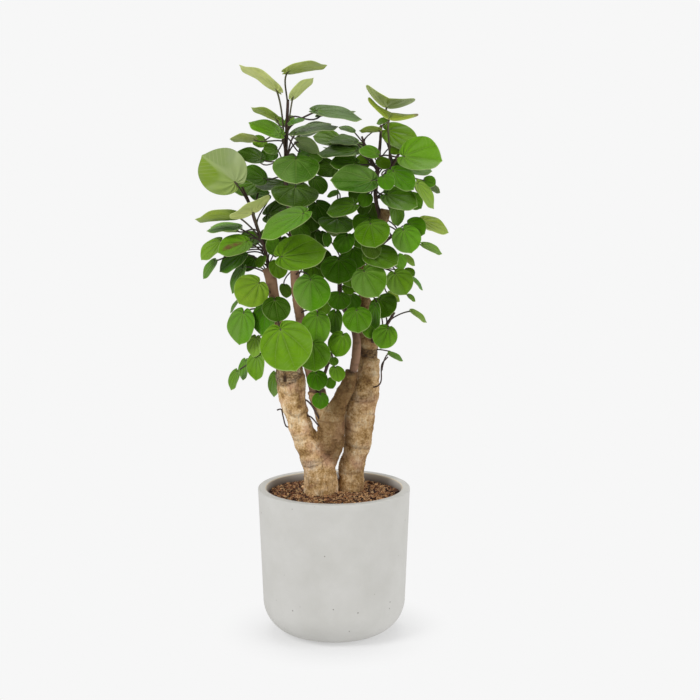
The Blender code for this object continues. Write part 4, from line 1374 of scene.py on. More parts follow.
    def carve(self, mesh: bpy.types.Mesh) -> None:
        """Press the ring scars, lumps, wrinkles and marks into the skin and store where they are.

        Args:
            mesh: the skin.
        """
        count = len(mesh.vertices)
        places = np.empty(count * 3)
        normals = np.empty(count * 3)
        mesh.vertices.foreach_get("co", places)
        mesh.vertices.foreach_get("normal", normals)
        places = places.reshape(-1, 3)
        normals = normals.reshape(-1, 3)
        groove, shade = self.limb_values(places)
        coarse = places * self.lump_scale
        fine = places * np.array(self.wrinkle_scale)
        lumps = np.array([noise.fractal(place, *self.lump_noise) for place in map(Vector, coarse)])
        wrinkles = np.array([noise.fractal(place, *self.wrinkle_noise) for place in map(Vector, fine)])
        groove, dark = self.seam_values(places, normals, lumps, wrinkles, groove)
        rise = self.lump * lumps + self.wrinkle * wrinkles - self.ring_depth * groove
        for mark in self.marks:
            middle = np.array(in_space(mark.x, mark.z, mark.depth))
            half = np.array((mark.half_x, mark.half_y, mark.half_z)) * MM
            away = np.sqrt((((places - middle) / half) ** 2).sum(axis=1))
            within = np.clip(self.mark_edge - away + self.mark_fray * wrinkles, 0, 1)
            within = within * within * (3 - 2 * within)
            ring = np.cos(away * mark.half_x * self.mark_rings)
            rise += mark.rise * within + mark.ripple * within * ring
            groove = np.maximum(groove, mark.ripple * within * (0.5 - 0.5 * ring))
            # Dark cut wood, and painted shade in the hollows
            dark = np.maximum(dark, mark.dark * within)
        places += normals * (rise * MM)[:, None]
        mesh.vertices.foreach_set("co", places.ravel())
        # cut keeps dark cut wood with painted shade; shade is each limb's painted shade
        stored = {"groove": groove, "cut": dark, "relief": np.clip(0.5 + 0.5 * lumps, 0, 1), "shade": shade}
        for label, value in stored.items():
            mesh.attributes.new(label, "FLOAT", "POINT").data.foreach_set("value", value)

    def build(self, finishes: "PlantFinishes") -> None:
        """Make the trunk and its twigs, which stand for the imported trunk.

        Args:
            finishes: the plant's finishes.
        """
        mesh = self.solid()
        mesh.name = self.name
        self.carve(mesh)
        mesh.materials.clear()
        mesh.materials.append(finishes.bark)
        mesh.shade_smooth()
        trunk = bpy.data.objects.new(f"{self.name}_bark", mesh)
        bpy.context.scene.collection.objects.link(trunk)
        finish_piece(trunk, "bark", self.name)
        sticks = MeshGatherer()
        for rows in self.twigs:
            path = smooth_path(stem_points(rows), self.twig_step)
            places, faces, shares = tube(path, self.twig_sides)
            sticks.add(places, faces, 0, tone=shares, young=self.twig_tone)
        twigs = sticks.build(f"{self.name}_twigs", [finishes.petiole])
        finish_piece(twigs, "stem", self.name)


def turned(profile: list[tuple[float, float]], steps: int) -> tuple[np.ndarray, Faces]:
    """Turn a profile about the Z axis.

    Args:
        profile: (radius, height) points; the first and the last lie on the axis.
        steps: the number of steps round.

    Returns:
        The vertices and the faces.
    """
    angles = np.arange(steps) * math.tau / steps
    inner = profile[1:-1]
    rings = [np.column_stack((radius * np.cos(angles), radius * np.sin(angles), np.full(steps, height)))
             for radius, height in inner]
    places = np.vstack([*rings, (0, 0, profile[0][1]), (0, 0, profile[-1][1])])
    first, last = len(places) - 2, len(places) - 1
    faces = ring_faces(len(inner), steps, flip=True)
    end = (len(inner) - 1) * steps
    for step in range(steps):
        beside = (step + 1) % steps
        faces += [(first, step, beside), (end + step, last, end + beside)]
    return places, faces


def arc(centre: tuple[float, float], radius: float, start: float, end: float,
        steps: int) -> list[tuple[float, float]]:
    """Points of a round stretch of a profile; the angles are in degrees."""
    angles = np.radians(np.linspace(start, end, steps + 1))
    return [(centre[0] + radius * math.cos(a), centre[1] + radius * math.sin(a)) for a in angles]


@dataclass(frozen=True)
class ConcretePot:
    """The cast pot, a shell with a flat rim, a rounded foot and a flat base."""

    rim_radius: float = 125.0 * MM
    height: float = 243.0 * MM
    wall: float = 13.7 * MM
    low_radius: float = 117.6 * MM
    rounding: float = 56.0 * MM
    floor: float = 16.0 * MM
    edge: float = 2.5 * MM
    soil_depth: float = 15.0 * MM
    straight_inset: float = 12.0 * MM
    steps: int = 160
    wall_steps: int = 8
    foot_steps: int = 24
    edge_steps: int = 5

    def inner_radius(self, height: float) -> float:
        """Radius of the inner wall at a height above the base rounding."""
        share = (height - self.rounding) / (self.height - self.rounding)
        return self.low_radius + (self.rim_radius - self.low_radius) * share - self.wall

    def profile(self) -> list[tuple[float, float]]:
        """Profile from the middle of the floor up the inside, over the rim and down to the base.

        Returns:
            (radius, height) points in metres.
        """
        foot = (self.low_radius - self.rounding, self.rounding)
        inside = self.rounding - self.wall
        top = self.height - self.edge
        low, high = self.rounding + self.straight_inset, self.height - self.straight_inset
        rise = [(self.inner_radius(height), height) for height in np.linspace(low, high, self.wall_steps)]
        fall = [(radius + self.wall, height) for radius, height in reversed(rise)]
        return [
            (0.0, self.floor),
            *arc((foot[0], self.floor + inside), inside, -90, 0, self.foot_steps // 2),
            *rise,
            *arc((self.rim_radius - self.wall + self.edge, top), self.edge, 180, 90, self.edge_steps),
            *arc((self.rim_radius - self.edge, top), self.edge, 90, 0, self.edge_steps),
            *fall,
            *arc(foot, self.rounding, 0, -90, self.foot_steps),
            (0.0, 0.0)]

    def build(self, concrete: bpy.types.Material) -> None:
        """Make the pot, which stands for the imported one.

        Args:
            concrete: its material.
        """
        shell = MeshGatherer()
        shell.add(*turned(self.profile(), self.steps))
        finish_piece(shell.build("cast_pot", [concrete], 40.0), "concrete", "pot")


@dataclass
class CoirSoil:
    """The top of the soil: a crumbly layer with chips of bark and loose fibres."""

    pot: ConcretePot
    spacing: float = 2.2 * MM
    mound: float = 3.0 * MM
    bump: float = 2.6 * MM
    edge_gap: float = 0.8 * MM
    chips: int = 1500
    fibres: int = 2200
    steps: int = 200
    lump_scale: float = 90.0
    lump_slice: float = 3.0
    lump_noise: tuple = (0.9, 2.1, 4)
    layer_tint: float = 0.25
    spread: float = 0.975
    corners: tuple = ((-1.0, -0.7), (0.8, -1.0), (1.0, 0.6), (-0.7, 1.0))
    lift: float = 1.2 * MM
    depth: float = 4.0 * MM
    chip_long: tuple = (1.8, 6.0)
    chip_wide: tuple = (0.3, 0.7)
    chip_thick: tuple = (0.5, 1.1)
    chip_lean: float = 0.35
    chip_lift: float = 0.3 * MM
    chip_tint: float = 1.4
    fibre_points: int = 5
    fibre_sides: int = 4
    fibre_end: float = 0.985
    fibre_tint: tuple = (0.5, 1.1)
    fibre_radius: tuple = (0.2, 0.45)
    fibre_lift: tuple = (0.3, 1.9)
    fibre_turn: float = 0.6
    fibre_run: tuple = (1.5, 4.2)
    draw: random.Random = field(default_factory=lambda: random.Random(FORM_SEED + 2))

    def height(self, x: float, y: float) -> float:
        """Height of the layer at a place.

        Args:
            x: the place to the right, in metres.
            y: the place to the back, in metres.

        Returns:
            The height in metres.
        """
        share = math.hypot(x, y) / self.radius()
        place = Vector((x * self.lump_scale, y * self.lump_scale, self.lump_slice))
        lumps = noise.fractal(place, *self.lump_noise)
        top = self.pot.height - self.pot.soil_depth
        return top + self.mound * (1 - share) ** 2 + self.lift + self.bump * lumps

    def radius(self) -> float:
        """Radius of the layer."""
        return self.pot.inner_radius(self.pot.height - self.pot.soil_depth) - self.edge_gap

    def layer(self, gatherer: MeshGatherer) -> None:
        """Add the bumpy layer, closed below, where the soil is.

        Args:
            gatherer: what it goes into.
        """
        rings = round(self.radius() / self.spacing)
        steps = self.steps
        places = [(0.0, 0.0, self.height(0.0, 0.0))]
        for ring in range(1, rings + 1):
            reach = self.radius() * ring / rings
            for step in range(steps):
                angle = math.tau * step / steps
                x, y = reach * math.cos(angle), reach * math.sin(angle)
                places.append((x, y, self.height(x, y)))
        low = self.pot.height - self.pot.soil_depth - self.depth
        start = 1 + steps * (rings - 1)
        for step in range(steps):
            places.append((*places[start + step][:2], low))
        faces = [(0, 1 + step, 1 + (step + 1) % steps) for step in range(steps)]
        faces += ring_faces(rings + 1, steps, 1, True)
        last = 1 + steps * rings
        faces.append(tuple(range(last + steps - 1, last - 1, -1)))
        gatherer.add(np.array(places), faces, 0, tint=self.layer_tint)

    def spot(self) -> tuple[float, float]:
        """Draw a place on the layer.

        Returns:
            Its x and y in metres.
        """
        reach = self.radius() * self.spread * math.sqrt(self.draw.random())
        angle = self.draw.uniform(0, math.tau)
        return reach * math.cos(angle), reach * math.sin(angle)

    def chip(self, gatherer: MeshGatherer) -> None:
        """Add a chip of bark, a flat splinter with slanting ends.

        Args:
            gatherer: what it goes into.
        """
        x, y = self.spot()
        long = self.draw.uniform(*self.chip_long) * MM
        wide = long * self.draw.uniform(*self.chip_wide)
        thick = self.draw.uniform(*self.chip_thick) * MM
        corners = [(long * along, wide * aside) for along, aside in self.corners]
        lean = Vector((self.draw.gauss(0, self.chip_lean), self.draw.gauss(0, self.chip_lean), 1.0))
        turn = lean.to_track_quat("Z", "Y")
        spin = self.draw.uniform(0, math.tau)
        middle = Vector((x, y, self.height(x, y) + self.chip_lift))
        places = []
        for level in (-thick, thick):
            for cx, cy in corners:
                flat = Vector((cx * math.cos(spin) - cy * math.sin(spin),
                               cx * math.sin(spin) + cy * math.cos(spin), level))
                places.append(turn @ flat + middle)
        faces = [(3, 2, 1, 0), (4, 5, 6, 7), (0, 1, 5, 4), (1, 2, 6, 5), (2, 3, 7, 6), (3, 0, 4, 7)]
        gatherer.add(np.array(places), faces, 0, tint=self.draw.uniform(0.0, 1.0) ** self.chip_tint)

    def fibre(self, gatherer: MeshGatherer) -> None:
        """Add a thin bent fibre of coir.

        Args:
            gatherer: what it goes into.
        """
        x, y = self.spot()
        angle = self.draw.uniform(0, math.tau)
        radius = self.draw.uniform(*self.fibre_radius)
        path = []
        for _ in range(self.fibre_points):
            if math.hypot(x, y) > self.radius() * self.fibre_end:
                break
            level = self.height(x, y) + self.draw.uniform(*self.fibre_lift) * MM
            path.append((Vector((x, y, level)), radius))
            angle += self.draw.uniform(-self.fibre_turn, self.fibre_turn)
            run = self.draw.uniform(*self.fibre_run) * MM
            x += run * math.cos(angle)
            y += run * math.sin(angle)
        if len(path) > 1:
            places, faces, _ = tube(path, self.fibre_sides)
            gatherer.add(places, faces, 0, tint=self.draw.uniform(*self.fibre_tint))

    def build(self, coir: bpy.types.Material) -> None:
        """Dress the packed soil and lay the crumbs on it.

        Args:
            coir: the soil's material.
        """
        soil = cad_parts["soil"]
        soil.data.materials.clear()
        soil.data.materials.append(coir)
        gatherer = MeshGatherer()
        self.layer(gatherer)
        for _ in range(self.chips):
            self.chip(gatherer)
        for _ in range(self.fibres):
            self.fibre(gatherer)
        finish_piece(gatherer.build("soil_crumbs", [coir], 50.0), "soil")


def linear(colour: str) -> tuple[float, float, float, float]:
    """Turn an sRGB hex colour into linear red, green, blue and alpha."""
    parts = [int(colour[start:start + 2], 16) / 255 for start in (1, 3, 5)]
    return (*(part / 12.92 if part <= 0.04045 else ((part + 0.055) / 1.055) ** 2.4 for part in parts), 1.0)


def per(size: float) -> float:
    """Scale of a texture whose features have a size in millimetres."""
    return 1.0 / (size * MM)


def ends(side: str, span: tuple | list) -> dict[str, float]:
    """The two inputs that say where a range begins and ends."""
    return {f"{side} Min": span[0], f"{side} Max": span[1]}


def add_node(tree: bpy.types.NodeTree, kind: str, inputs: dict | None = None, out: int | str = 0,
             stops: tuple = (), **settings: object) -> bpy.types.NodeSocket | None:
    """Add a node with its settings and links.

    Args:
        tree: the material's node tree.
        kind: the node's type without its prefix, ShaderNode.
        inputs: by the input's name or number, the socket that feeds it, or its value.
        out: the name or number of the output to return.
        stops: (place, colour) pairs of a colour ramp, the colours in hex or as grey levels.
        settings: the node's own settings.

    Returns:
        The output, or None where the node has none.
    """
    node = tree.nodes.new(f"ShaderNode{kind}")
    for label, value in settings.items():
        setattr(node, label, value)
    for label, value in (inputs or {}).items():
        if isinstance(value, bpy.types.NodeSocket):
            tree.links.new(value, node.inputs[label])
        else:
            node.inputs[label].default_value = value
    if stops:
        elements = node.color_ramp.elements
        while len(elements) < len(stops):
            elements.new(0.5)
        for element, (place, colour) in zip(elements, stops):
            element.position = place
            element.color = linear(colour) if isinstance(colour, str) else (colour, colour, colour, 1.0)
    return node.outputs[out] if len(node.outputs) else None


def begin_material(name: str) -> tuple[bpy.types.Material, Adder]:
    """Make a material with an empty node tree.

    Args:
        name: its name.

    Returns:
        The material, and add_node for its tree.
    """
    material = bpy.data.materials.new(name)
    material.use_nodes = True
    material.node_tree.nodes.clear()
    return material, partial(add_node, material.node_tree)


def end_material(add: Adder, base: bpy.types.NodeSocket | tuple, layers: tuple,
                 height: bpy.types.NodeSocket, rise: float, strength: float, **inputs: object) -> None:
    """Finish a material: lay colours over its ground, then add its relief and its shader.

    Args:
        add: adds a node to the material.
        base: the ground colour.
        layers: (share, colour) pairs that are laid over it in turn, with the blend if it isn't a mix.
        height: what gives the surface its fine relief.
        rise: the relief's full height in millimetres.
        strength: how strongly the relief shows.
        inputs: the shader's further inputs.
    """
    for share, colour, *blend in layers:
        base = add("Mix", {0: share, 6: base, 7: linear(colour)}, out=2, data_type="RGBA",
                   blend_type=blend[0] if blend else "MIX")
    bump = add("Bump", {"Strength": strength, "Distance": rise * MM, "Height": height})
    shader = add("BsdfPrincipled", {"Base Color": base, "Normal": bump, **inputs})
    add("OutputMaterial", {"Surface": shader})


@dataclass(frozen=True)
class CastConcrete:
    """Cast concrete, poured in a smooth mould and left raw: light grey, matt, clouded, with few air holes;
    painted shade darkens the inner wall near the soil, and painted warm light lies on the inner rim edge.
    """

    light: str = "#C9C8C4"
    dark: str = "#C1C0BB"
    clouds: tuple = (0.42, 0.78)
    cloud: float = 60.0
    grain: float = 1.8
    grain_share: float = 0.22
    hole: str = "#8E8C85"
    hole_spacing: float = 13.0
    hole_chance: float = 0.55
    hole_size: float = 0.11
    hole_edge: tuple = (-0.01, 0.035)
    hole_depth: float = -2.5
    # Painted light: a warm cream line on the inner rim edge, as if thrown up from the soil
    painted_rim_light: str = "#D6CCB8"
    inner_wall_radius: tuple = (113.2 * MM, 112.6 * MM)
    rim_light_level: tuple = (240.6 * MM, 242.0 * MM)
    # Painted shade on the inner wall near the soil, in a soil brown
    soil_line_shade: str = "#5F4B3C"
    soil_line_level: float = 228.0 * MM
    soil_line_reach: tuple = (13.0 * MM, 1.0 * MM)
    soil_line_shade_share: float = 0.8
    roughness: float = 0.82

    def make(self) -> bpy.types.Material:
        """Make the material; the sand grain is drawn coarser than its 0.5 mm, so that it shows.

        Returns:
            The material.
        """
        material, add = begin_material("cast_concrete")
        place = add("TexCoord", out="Object")
        cloud = add("TexNoise", {"Vector": place, "Scale": per(self.cloud), "Detail": 6.0, "Roughness": 0.6})
        grain = add("TexNoise", {"Vector": place, "Scale": per(self.grain), "Detail": 3.0})
        mixed = add("Math", {0: grain, 1: self.grain_share, 2: cloud}, operation="MULTIPLY_ADD")
        stops = ((self.clouds[0], self.dark), (self.clouds[1], self.light))
        base = add("ValToRGB", {"Fac": mixed}, stops=stops)
        spacing = {"Vector": place, "Scale": per(self.hole_spacing)}
        cells = add("TexVoronoi", spacing)
        chance = add("TexVoronoi", spacing, out="Color")
        drawn = add("SeparateXYZ", {"Vector": chance})
        size = add("MapRange", {"Value": drawn, "From Min": self.hole_chance, "To Min": 0.0,
                                "To Max": self.hole_size})
        inside = add("Math", {0: size, 1: cells}, operation="SUBTRACT")
        hole = add("MapRange", {"Value": inside, **ends("From", self.hole_edge)})
        level = add("SeparateXYZ", {"Vector": place}, out="Z")
        flat = add("VectorMath", {0: place, 1: (1.0, 1.0, 0.0)}, operation="MULTIPLY")
        radius = add("VectorMath", {0: flat}, out="Value", operation="LENGTH")
        inward = add("MapRange", {"Value": radius, **ends("From", self.inner_wall_radius)})
        # Painted warm light on the inner edge of the rim
        high = add("MapRange", {"Value": level, **ends("From", self.rim_light_level)})
        rim_light_share = add("Math", {0: inward, 1: high}, operation="MULTIPLY")
        # Painted shade: the inner wall darkens toward the soil level
        off = add("Math", {0: level, 1: self.soil_line_level}, operation="SUBTRACT")
        away = add("Math", {0: off}, operation="ABSOLUTE")
        shade_falloff = add("MapRange", {"Value": away, **ends("From", self.soil_line_reach), "To Max": self.soil_line_shade_share})
        painted_soil_line_shade = add("Math", {0: shade_falloff, 1: inward}, operation="MULTIPLY")
        height = add("Math", {0: hole, 1: self.hole_depth, 2: mixed}, operation="MULTIPLY_ADD")
        layers = ((hole, self.hole), (rim_light_share, self.painted_rim_light), (painted_soil_line_shade, self.soil_line_shade))
        end_material(add, base, layers, height, 0.25, 0.6, Roughness=self.roughness, IOR=1.5)
        return material


@dataclass(frozen=True)
class CoirAndBark:
    """Potting soil of coir and shredded bark: dark red-brown, with lighter loose fibres."""

    stops: tuple = ((0.0, "#1C0F09"), (0.25, "#523020"), (0.52, "#885A38"), (0.78, "#B98A5B"),
                    (1.0, "#DDBB8C"))
    lump: float = 2.0
    lump_share: float = 1.3
    darkening: float = 0.71
    roughness: float = 0.95

    def make(self) -> bpy.types.Material:
        """Make the material; each form's own tint chooses its brown.

        Returns:
            The material.
        """
        material, add = begin_material("coir_and_bark")
        place = add("TexCoord", out="Object")
        tint = add("Attribute", out="Fac", attribute_name="tint")
        lumps = add("TexNoise", {"Vector": place, "Scale": per(self.lump), "Detail": 5.0})
        shifted = add("Math", {0: lumps, 1: self.lump_share, 2: tint}, operation="MULTIPLY_ADD")
        value = add("Math", {0: shifted, 1: self.darkening}, operation="SUBTRACT")
        base = add("ValToRGB", {"Fac": value}, stops=self.stops)
        end_material(add, base, (), lumps, 0.8, 1.0, Roughness=self.roughness, IOR=1.45)
        return material


@dataclass(frozen=True)
class AraliaBark:
    """Grown bark of the thick trunks: corky tan, ringed by leaf scars, paler on the lumps, dark at cuts, with
    painted shade on the limbs, in hollows and above seams.
    """

    stops: tuple = ((0.26, "#6B4A27"), (0.41, "#A5814B"), (0.56, "#D6B383"), (0.74, "#EEDAB6"))
    patch: float = 24.0
    cork: float = 3.2
    cork_share: float = 0.85
    relief_share: float = 0.25
    darkening: float = 0.53
    pink: str = "#C79A83"
    blush: float = 34.0
    blush_edge: tuple = (0.52, 0.68)
    blush_share: float = 0.5
    limb_shade_tint: str = "#807044"
    limb_shade_share: float = 0.72
    fleck: str = "#6B4D33"
    streak: tuple = (330.0, 330.0, 90.0)
    streak_edge: tuple = (0.56, 0.70)
    streak_share: float = 0.55
    groove: str = "#5E3F1E"
    groove_gap: tuple = (0.36, 0.56)
    cut: str = "#33200F"
    roughness: float = 0.86

    def make(self) -> bpy.types.Material:
        """Make the material; the grooves, the cuts with the painted shade of hollows and seams, and each
        limb's painted shade are stored in the skin.

        Returns:
            The material.
        """
        material, add = begin_material("aralia_bark")
        place = add("TexCoord", out="Object")
        relief, groove, cut, shade = (add("Attribute", out="Fac", attribute_name=name)
                                      for name in ("relief", "groove", "cut", "shade"))
        patch = add("TexNoise", {"Vector": place, "Scale": per(self.patch), "Detail": 7.0, "Roughness": 0.62})
        cork = add("TexNoise", {"Vector": place, "Scale": per(self.cork), "Detail": 6.0, "Roughness": 0.76})
        drawn = add("VectorMath", {0: place, 1: self.streak}, operation="MULTIPLY")
        streak = add("TexNoise", {"Vector": drawn, "Scale": 1.0, "Detail": 3.0})
        value = add("Math", {0: cork, 1: self.cork_share, 2: patch}, operation="MULTIPLY_ADD")
        value = add("Math", {0: relief, 1: self.relief_share, 2: value}, operation="MULTIPLY_ADD")
        value = add("Math", {0: value, 1: self.darkening}, operation="SUBTRACT")
        base = add("ValToRGB", {"Fac": value}, stops=self.stops)
        wide = add("TexNoise", {"Vector": place, "Scale": per(self.blush), "Detail": 2.0},
                   noise_dimensions="4D")
        flush = add("MapRange", {"Value": wide, **ends("From", self.blush_edge), "To Max": self.blush_share})
        # Painted shade: each limb is multiplied by a darker yellow-brown as far as it lies in shade
        painted_limb_shade = add("Math", {0: shade, 1: self.limb_shade_share}, operation="MULTIPLY", use_clamp=True)
        lines = add("MapRange", {"Value": streak, **ends("From", self.streak_edge),
                                 "To Max": self.streak_share})
        broken = add("MapRange", {"Value": cork, **ends("From", self.groove_gap)})
        ringed = add("Math", {0: groove, 1: broken}, operation="MULTIPLY")
        height = add("Math", {0: cork, 1: 0.6, 2: streak}, operation="MULTIPLY_ADD")
        # In turn: a pink flush, the limbs' painted shade, streaks, the grooves, and dark cut wood with the
        # painted shade of hollows and seams
        layers = ((flush, self.pink), (painted_limb_shade, self.limb_shade_tint, "MULTIPLY"), (lines, self.fleck),
                  (ringed, self.groove), (cut, self.cut))
        end_material(add, base, layers, height, 1.6, 0.9, Roughness=self.roughness, IOR=1.45)
        return material


@dataclass(frozen=True)
class YoungBark:
    """Grown bark of the leafy stems: dark purple-brown while thin, tan and ringed once they thicken."""

    thin: str = "#43302A"
    thick: str = "#957257"
    ring: str = "#5B4433"
    ring_share: float = 0.7
    fleck: float = 4.0
    fleck_share: float = 0.7
    darkening: float = 0.35
    roughness: float = 0.75

    def make(self) -> bpy.types.Material:
        """Make the material; tone is the thickness and young the depth in a ring scar.

        Returns:
            The material.
        """
        material, add = begin_material("young_bark")
        place = add("TexCoord", out="Object")
        tone, groove = (add("Attribute", out="Fac", attribute_name=name) for name in ("tone", "young"))
        fleck = add("TexNoise", {"Vector": place, "Scale": per(self.fleck), "Detail": 4.0})
        uneven = add("Math", {0: fleck, 1: self.fleck_share, 2: tone}, operation="MULTIPLY_ADD")
        value = add("Math", {0: uneven, 1: self.darkening}, operation="SUBTRACT", use_clamp=True)
        ringed = add("Math", {0: groove, 1: self.ring_share}, operation="MULTIPLY")
        layers = ((value, self.thick), (ringed, self.ring))
        end_material(add, linear(self.thin), layers, fleck, 0.5, 0.7, Roughness=self.roughness, IOR=1.45)
        return material


@dataclass(frozen=True)
class PetioleSkin:
    """Smooth grown skin of the leaf stalks: dark purple-brown, greener near the newest leaves."""

    old: str = "#3A2923"
    new: str = "#7F8A48"
    new_from: tuple = (0.4, 2.4)
    fleck: float = 3.0
    roughness: float = 0.5

    def make(self) -> bpy.types.Material:
        """Make the material; tone runs from the stem to the leaf and young is the leaf's own tone.

        Returns:
            The material.
        """
        material, add = begin_material("petiole_skin")
        place = add("TexCoord", out="Object")
        tone, young = (add("Attribute", out="Fac", attribute_name=name) for name in ("tone", "young"))
        fleck = add("TexNoise", {"Vector": place, "Scale": per(self.fleck), "Detail": 2.0})
        age = add("MapRange", {"Value": young, **ends("From", self.new_from)})
        share = add("Math", {0: tone, 1: age}, operation="MULTIPLY", use_clamp=True)
        end_material(add, linear(self.old), ((share, self.new),), fleck, 0.15, 0.5,
                     Roughness=self.roughness, IOR=1.45)
        return material


@dataclass(frozen=True)
class LeafSkin:
    """Waxy grown skin of a leaf: greens by age and painted light, veins that fan out from the stalk, painted
    shade in the vein valleys, a painted sheen, and a thin pale rim.
    """

    name: str = "leaf_upper"
    stops: tuple = ((0.0, "#2B4A07"), (0.14, "#365B08"), (0.36, "#4A7C0A"), (0.62, "#66971E"),
                    (0.85, "#86A838"), (1.0, "#93A83A"))
    mottle: float = 9.0
    mottle_share: float = 0.20
    vein: str = "#8DA755"
    vein_width: tuple = (0.034, 0.012)
    vein_edge: tuple = (1.5, 0.4)
    vein_strength: float = 0.24
    side_strength: float = 0.10
    side_rows: float = 9.0
    side_slant: float = -3.2
    side_edge: tuple = (0.14, 0.02)
    side_fade: tuple = (0.12, 0.45)
    side_rise: float = 0.4
    pillow: tuple = (0.06, 0.34)
    # Painted sheen: its colour, how strong its noise patches are and where they begin and end
    sheen: str = "#688840"
    sheen_strength: float = 0.34
    sheen_edge: tuple = (0.42, 0.66)
    sheen_paint_share: float = 0.7
    patch: float = 26.0
    # Painted shade along the veins, strongest near the stalk
    crease_shade: str = "#24450A"
    crease_shade_strength: float = 0.36
    crease_shade_fade: tuple = (0.2, 0.9)
    crease_shade_least: float = 0.15
    edge: str = "#A9BC78"
    edge_strength: float = 0.5
    edge_from: tuple = (0.965, 0.995)
    brown: str = "#705838"
    brown_edge: tuple = (0.26, 0.56)
    mirror: float = 0.20
    mirror_tint: str = "#E8FF8C"
    raised: float = -1.0
    roughness: float = 0.33
    gloss_spread: tuple = (-0.05, 0.08)
    gloss_edge: tuple = (0.3, 0.7)

    def make(self) -> bpy.types.Material:
        """Make the material; the mesh stores the vein numbers, the way out to the rim and the tone.

        Returns:
            The material.
        """
        material, add = begin_material(self.name)
        place = add("TexCoord", out="Object")
        net = add("UVMap", uv_map="veins")
        number = add("SeparateXYZ", {"Vector": net})
        share = add("SeparateXYZ", {"Vector": net}, out="Y")
        tone, hue, mist, scorch = (add("Attribute", out="Fac", attribute_name=name)
                                   for name in ("tone", "hue", "mist", "scorch"))
        mottle = add("TexNoise", {"Vector": place, "Scale": per(self.mottle), "Detail": 4.0})
        patch = add("TexNoise", {"Vector": place, "Scale": per(self.patch), "Detail": 2.0})

        # Main veins, which narrow outward, and slanting rows of side veins between them
        apart = add("Math", {0: number, 1: 0.5}, operation="PINGPONG")
        distance = add("Math", {0: apart, 1: share}, operation="MULTIPLY")
        width = add("MapRange", {"Value": share, **ends("To", self.vein_width)})
        ratio = add("Math", {0: distance, 1: width}, operation="DIVIDE")
        main = add("MapRange", {"Value": ratio, **ends("From", self.vein_edge)}, **SMOOTH)
        slant = add("Math", {0: apart, 1: self.side_slant}, operation="MULTIPLY")
        row = add("Math", {0: share, 1: self.side_rows, 2: slant}, operation="MULTIPLY_ADD")
        beside = add("Math", {0: row, 1: 0.5}, operation="PINGPONG")
        side = add("MapRange", {"Value": beside, **ends("From", self.side_edge)}, **SMOOTH)
        fade = add("MapRange", {"Value": share, **ends("From", self.side_fade)})
        side = add("Math", {0: side, 1: fade}, operation="MULTIPLY")
        side_share = add("Math", {0: side, 1: self.side_strength}, operation="MULTIPLY")
        main_share = add("Math", {0: main, 1: self.vein_strength}, operation="MULTIPLY")
        veined = add("Math", {0: side_share, 1: main_share}, operation="MAXIMUM")

        # Green by age and by painted light and shade, a little uneven
        shifted = add("Math", {0: mottle, 1: self.mottle_share, 2: tone}, operation="MULTIPLY_ADD")
        value = add("Math", {0: shifted, 1: self.mottle_share / 2}, operation="SUBTRACT")
        green = add("ValToRGB", {"Fac": value}, stops=self.stops)
        base = add("HueSaturation", {"Hue": hue, "Color": green})

        # Painted shade in the hollows along the veins, and a painted sheen on the swellings between them
        pillow = add("MapRange", {"Value": apart, **ends("From", self.pillow)}, **SMOOTH)
        painted_valley_shade = add("MapRange", {"Value": pillow, "To Min": self.crease_shade_strength, "To Max": 0.0})
        inward = add("MapRange", {"Value": share, **ends("From", self.crease_shade_fade), "To Min": 1.0,
                                  "To Max": self.crease_shade_least})
        crease_shade = add("Math", {0: painted_valley_shade, 1: inward}, operation="MULTIPLY")
        cloud = add("MapRange", {"Value": patch, **ends("From", self.sheen_edge),
                                 "To Max": self.sheen_strength})
        painted_sheen = add("Math", {0: pillow, 1: cloud}, operation="MULTIPLY")
        painted_sheen = add("Math", {0: mist, 1: self.sheen_paint_share, 2: painted_sheen}, operation="MULTIPLY_ADD", use_clamp=True)

        # The rim, and the brown of scorched leaves
        edge = add("MapRange", {"Value": share, **ends("From", self.edge_from), "To Max": self.edge_strength})
        spotted = add("Math", {0: mottle, 1: scorch}, operation="MULTIPLY")
        burnt = add("MapRange", {"Value": spotted, **ends("From", self.brown_edge)})
        rough = [self.roughness + more for more in self.gloss_spread]
        gloss = add("MapRange", {"Value": mottle, **ends("From", self.gloss_edge), **ends("To", rough)})
        relief = add("Math", {0: side, 1: self.side_rise, 2: main}, operation="MULTIPLY_ADD")
        height = add("Math", {0: relief, 1: self.raised, 2: mottle}, operation="MULTIPLY_ADD")
        # Layers in turn: painted vein shade, painted sheen, veins, the pale rim and scorch
        layers = ((crease_shade, self.crease_shade), (painted_sheen, self.sheen), (veined, self.vein), (edge, self.edge),
                  (burnt, self.brown))
        surface = {"Specular IOR Level": self.mirror, "Specular Tint": linear(self.mirror_tint)}
        end_material(add, base, layers, height, 0.5, 1.0, Roughness=gloss, IOR=1.45, **surface)
        return material


@dataclass(frozen=True)
class PlantFinishes:
    """The finishes of the plant's wood and leaves."""

    bark: bpy.types.Material
    young_bark: bpy.types.Material
    petiole: bpy.types.Material
    upper: bpy.types.Material
    under: bpy.types.Material

    @classmethod
    def make(cls) -> "PlantFinishes":
        """Make them all.

        Returns:
            The finishes.
        """
        stops = ((0.0, "#56684A"), (0.35, "#6F8652"), (0.65, "#839B2A"), (0.85, "#A5B548"), (1.0, "#CAD382"))
        under = LeafSkin(name="leaf_under", stops=stops, vein="#C9D3A0", vein_strength=0.2,
                         side_strength=0.16, raised=0.45, roughness=0.55, crease_shade_strength=0.1,
                         sheen="#8D9B6C", edge="#C0CB92")
        wood = AraliaBark().make(), YoungBark().make(), PetioleSkin().make()
        return cls(*wood, LeafSkin().make(), under.make())


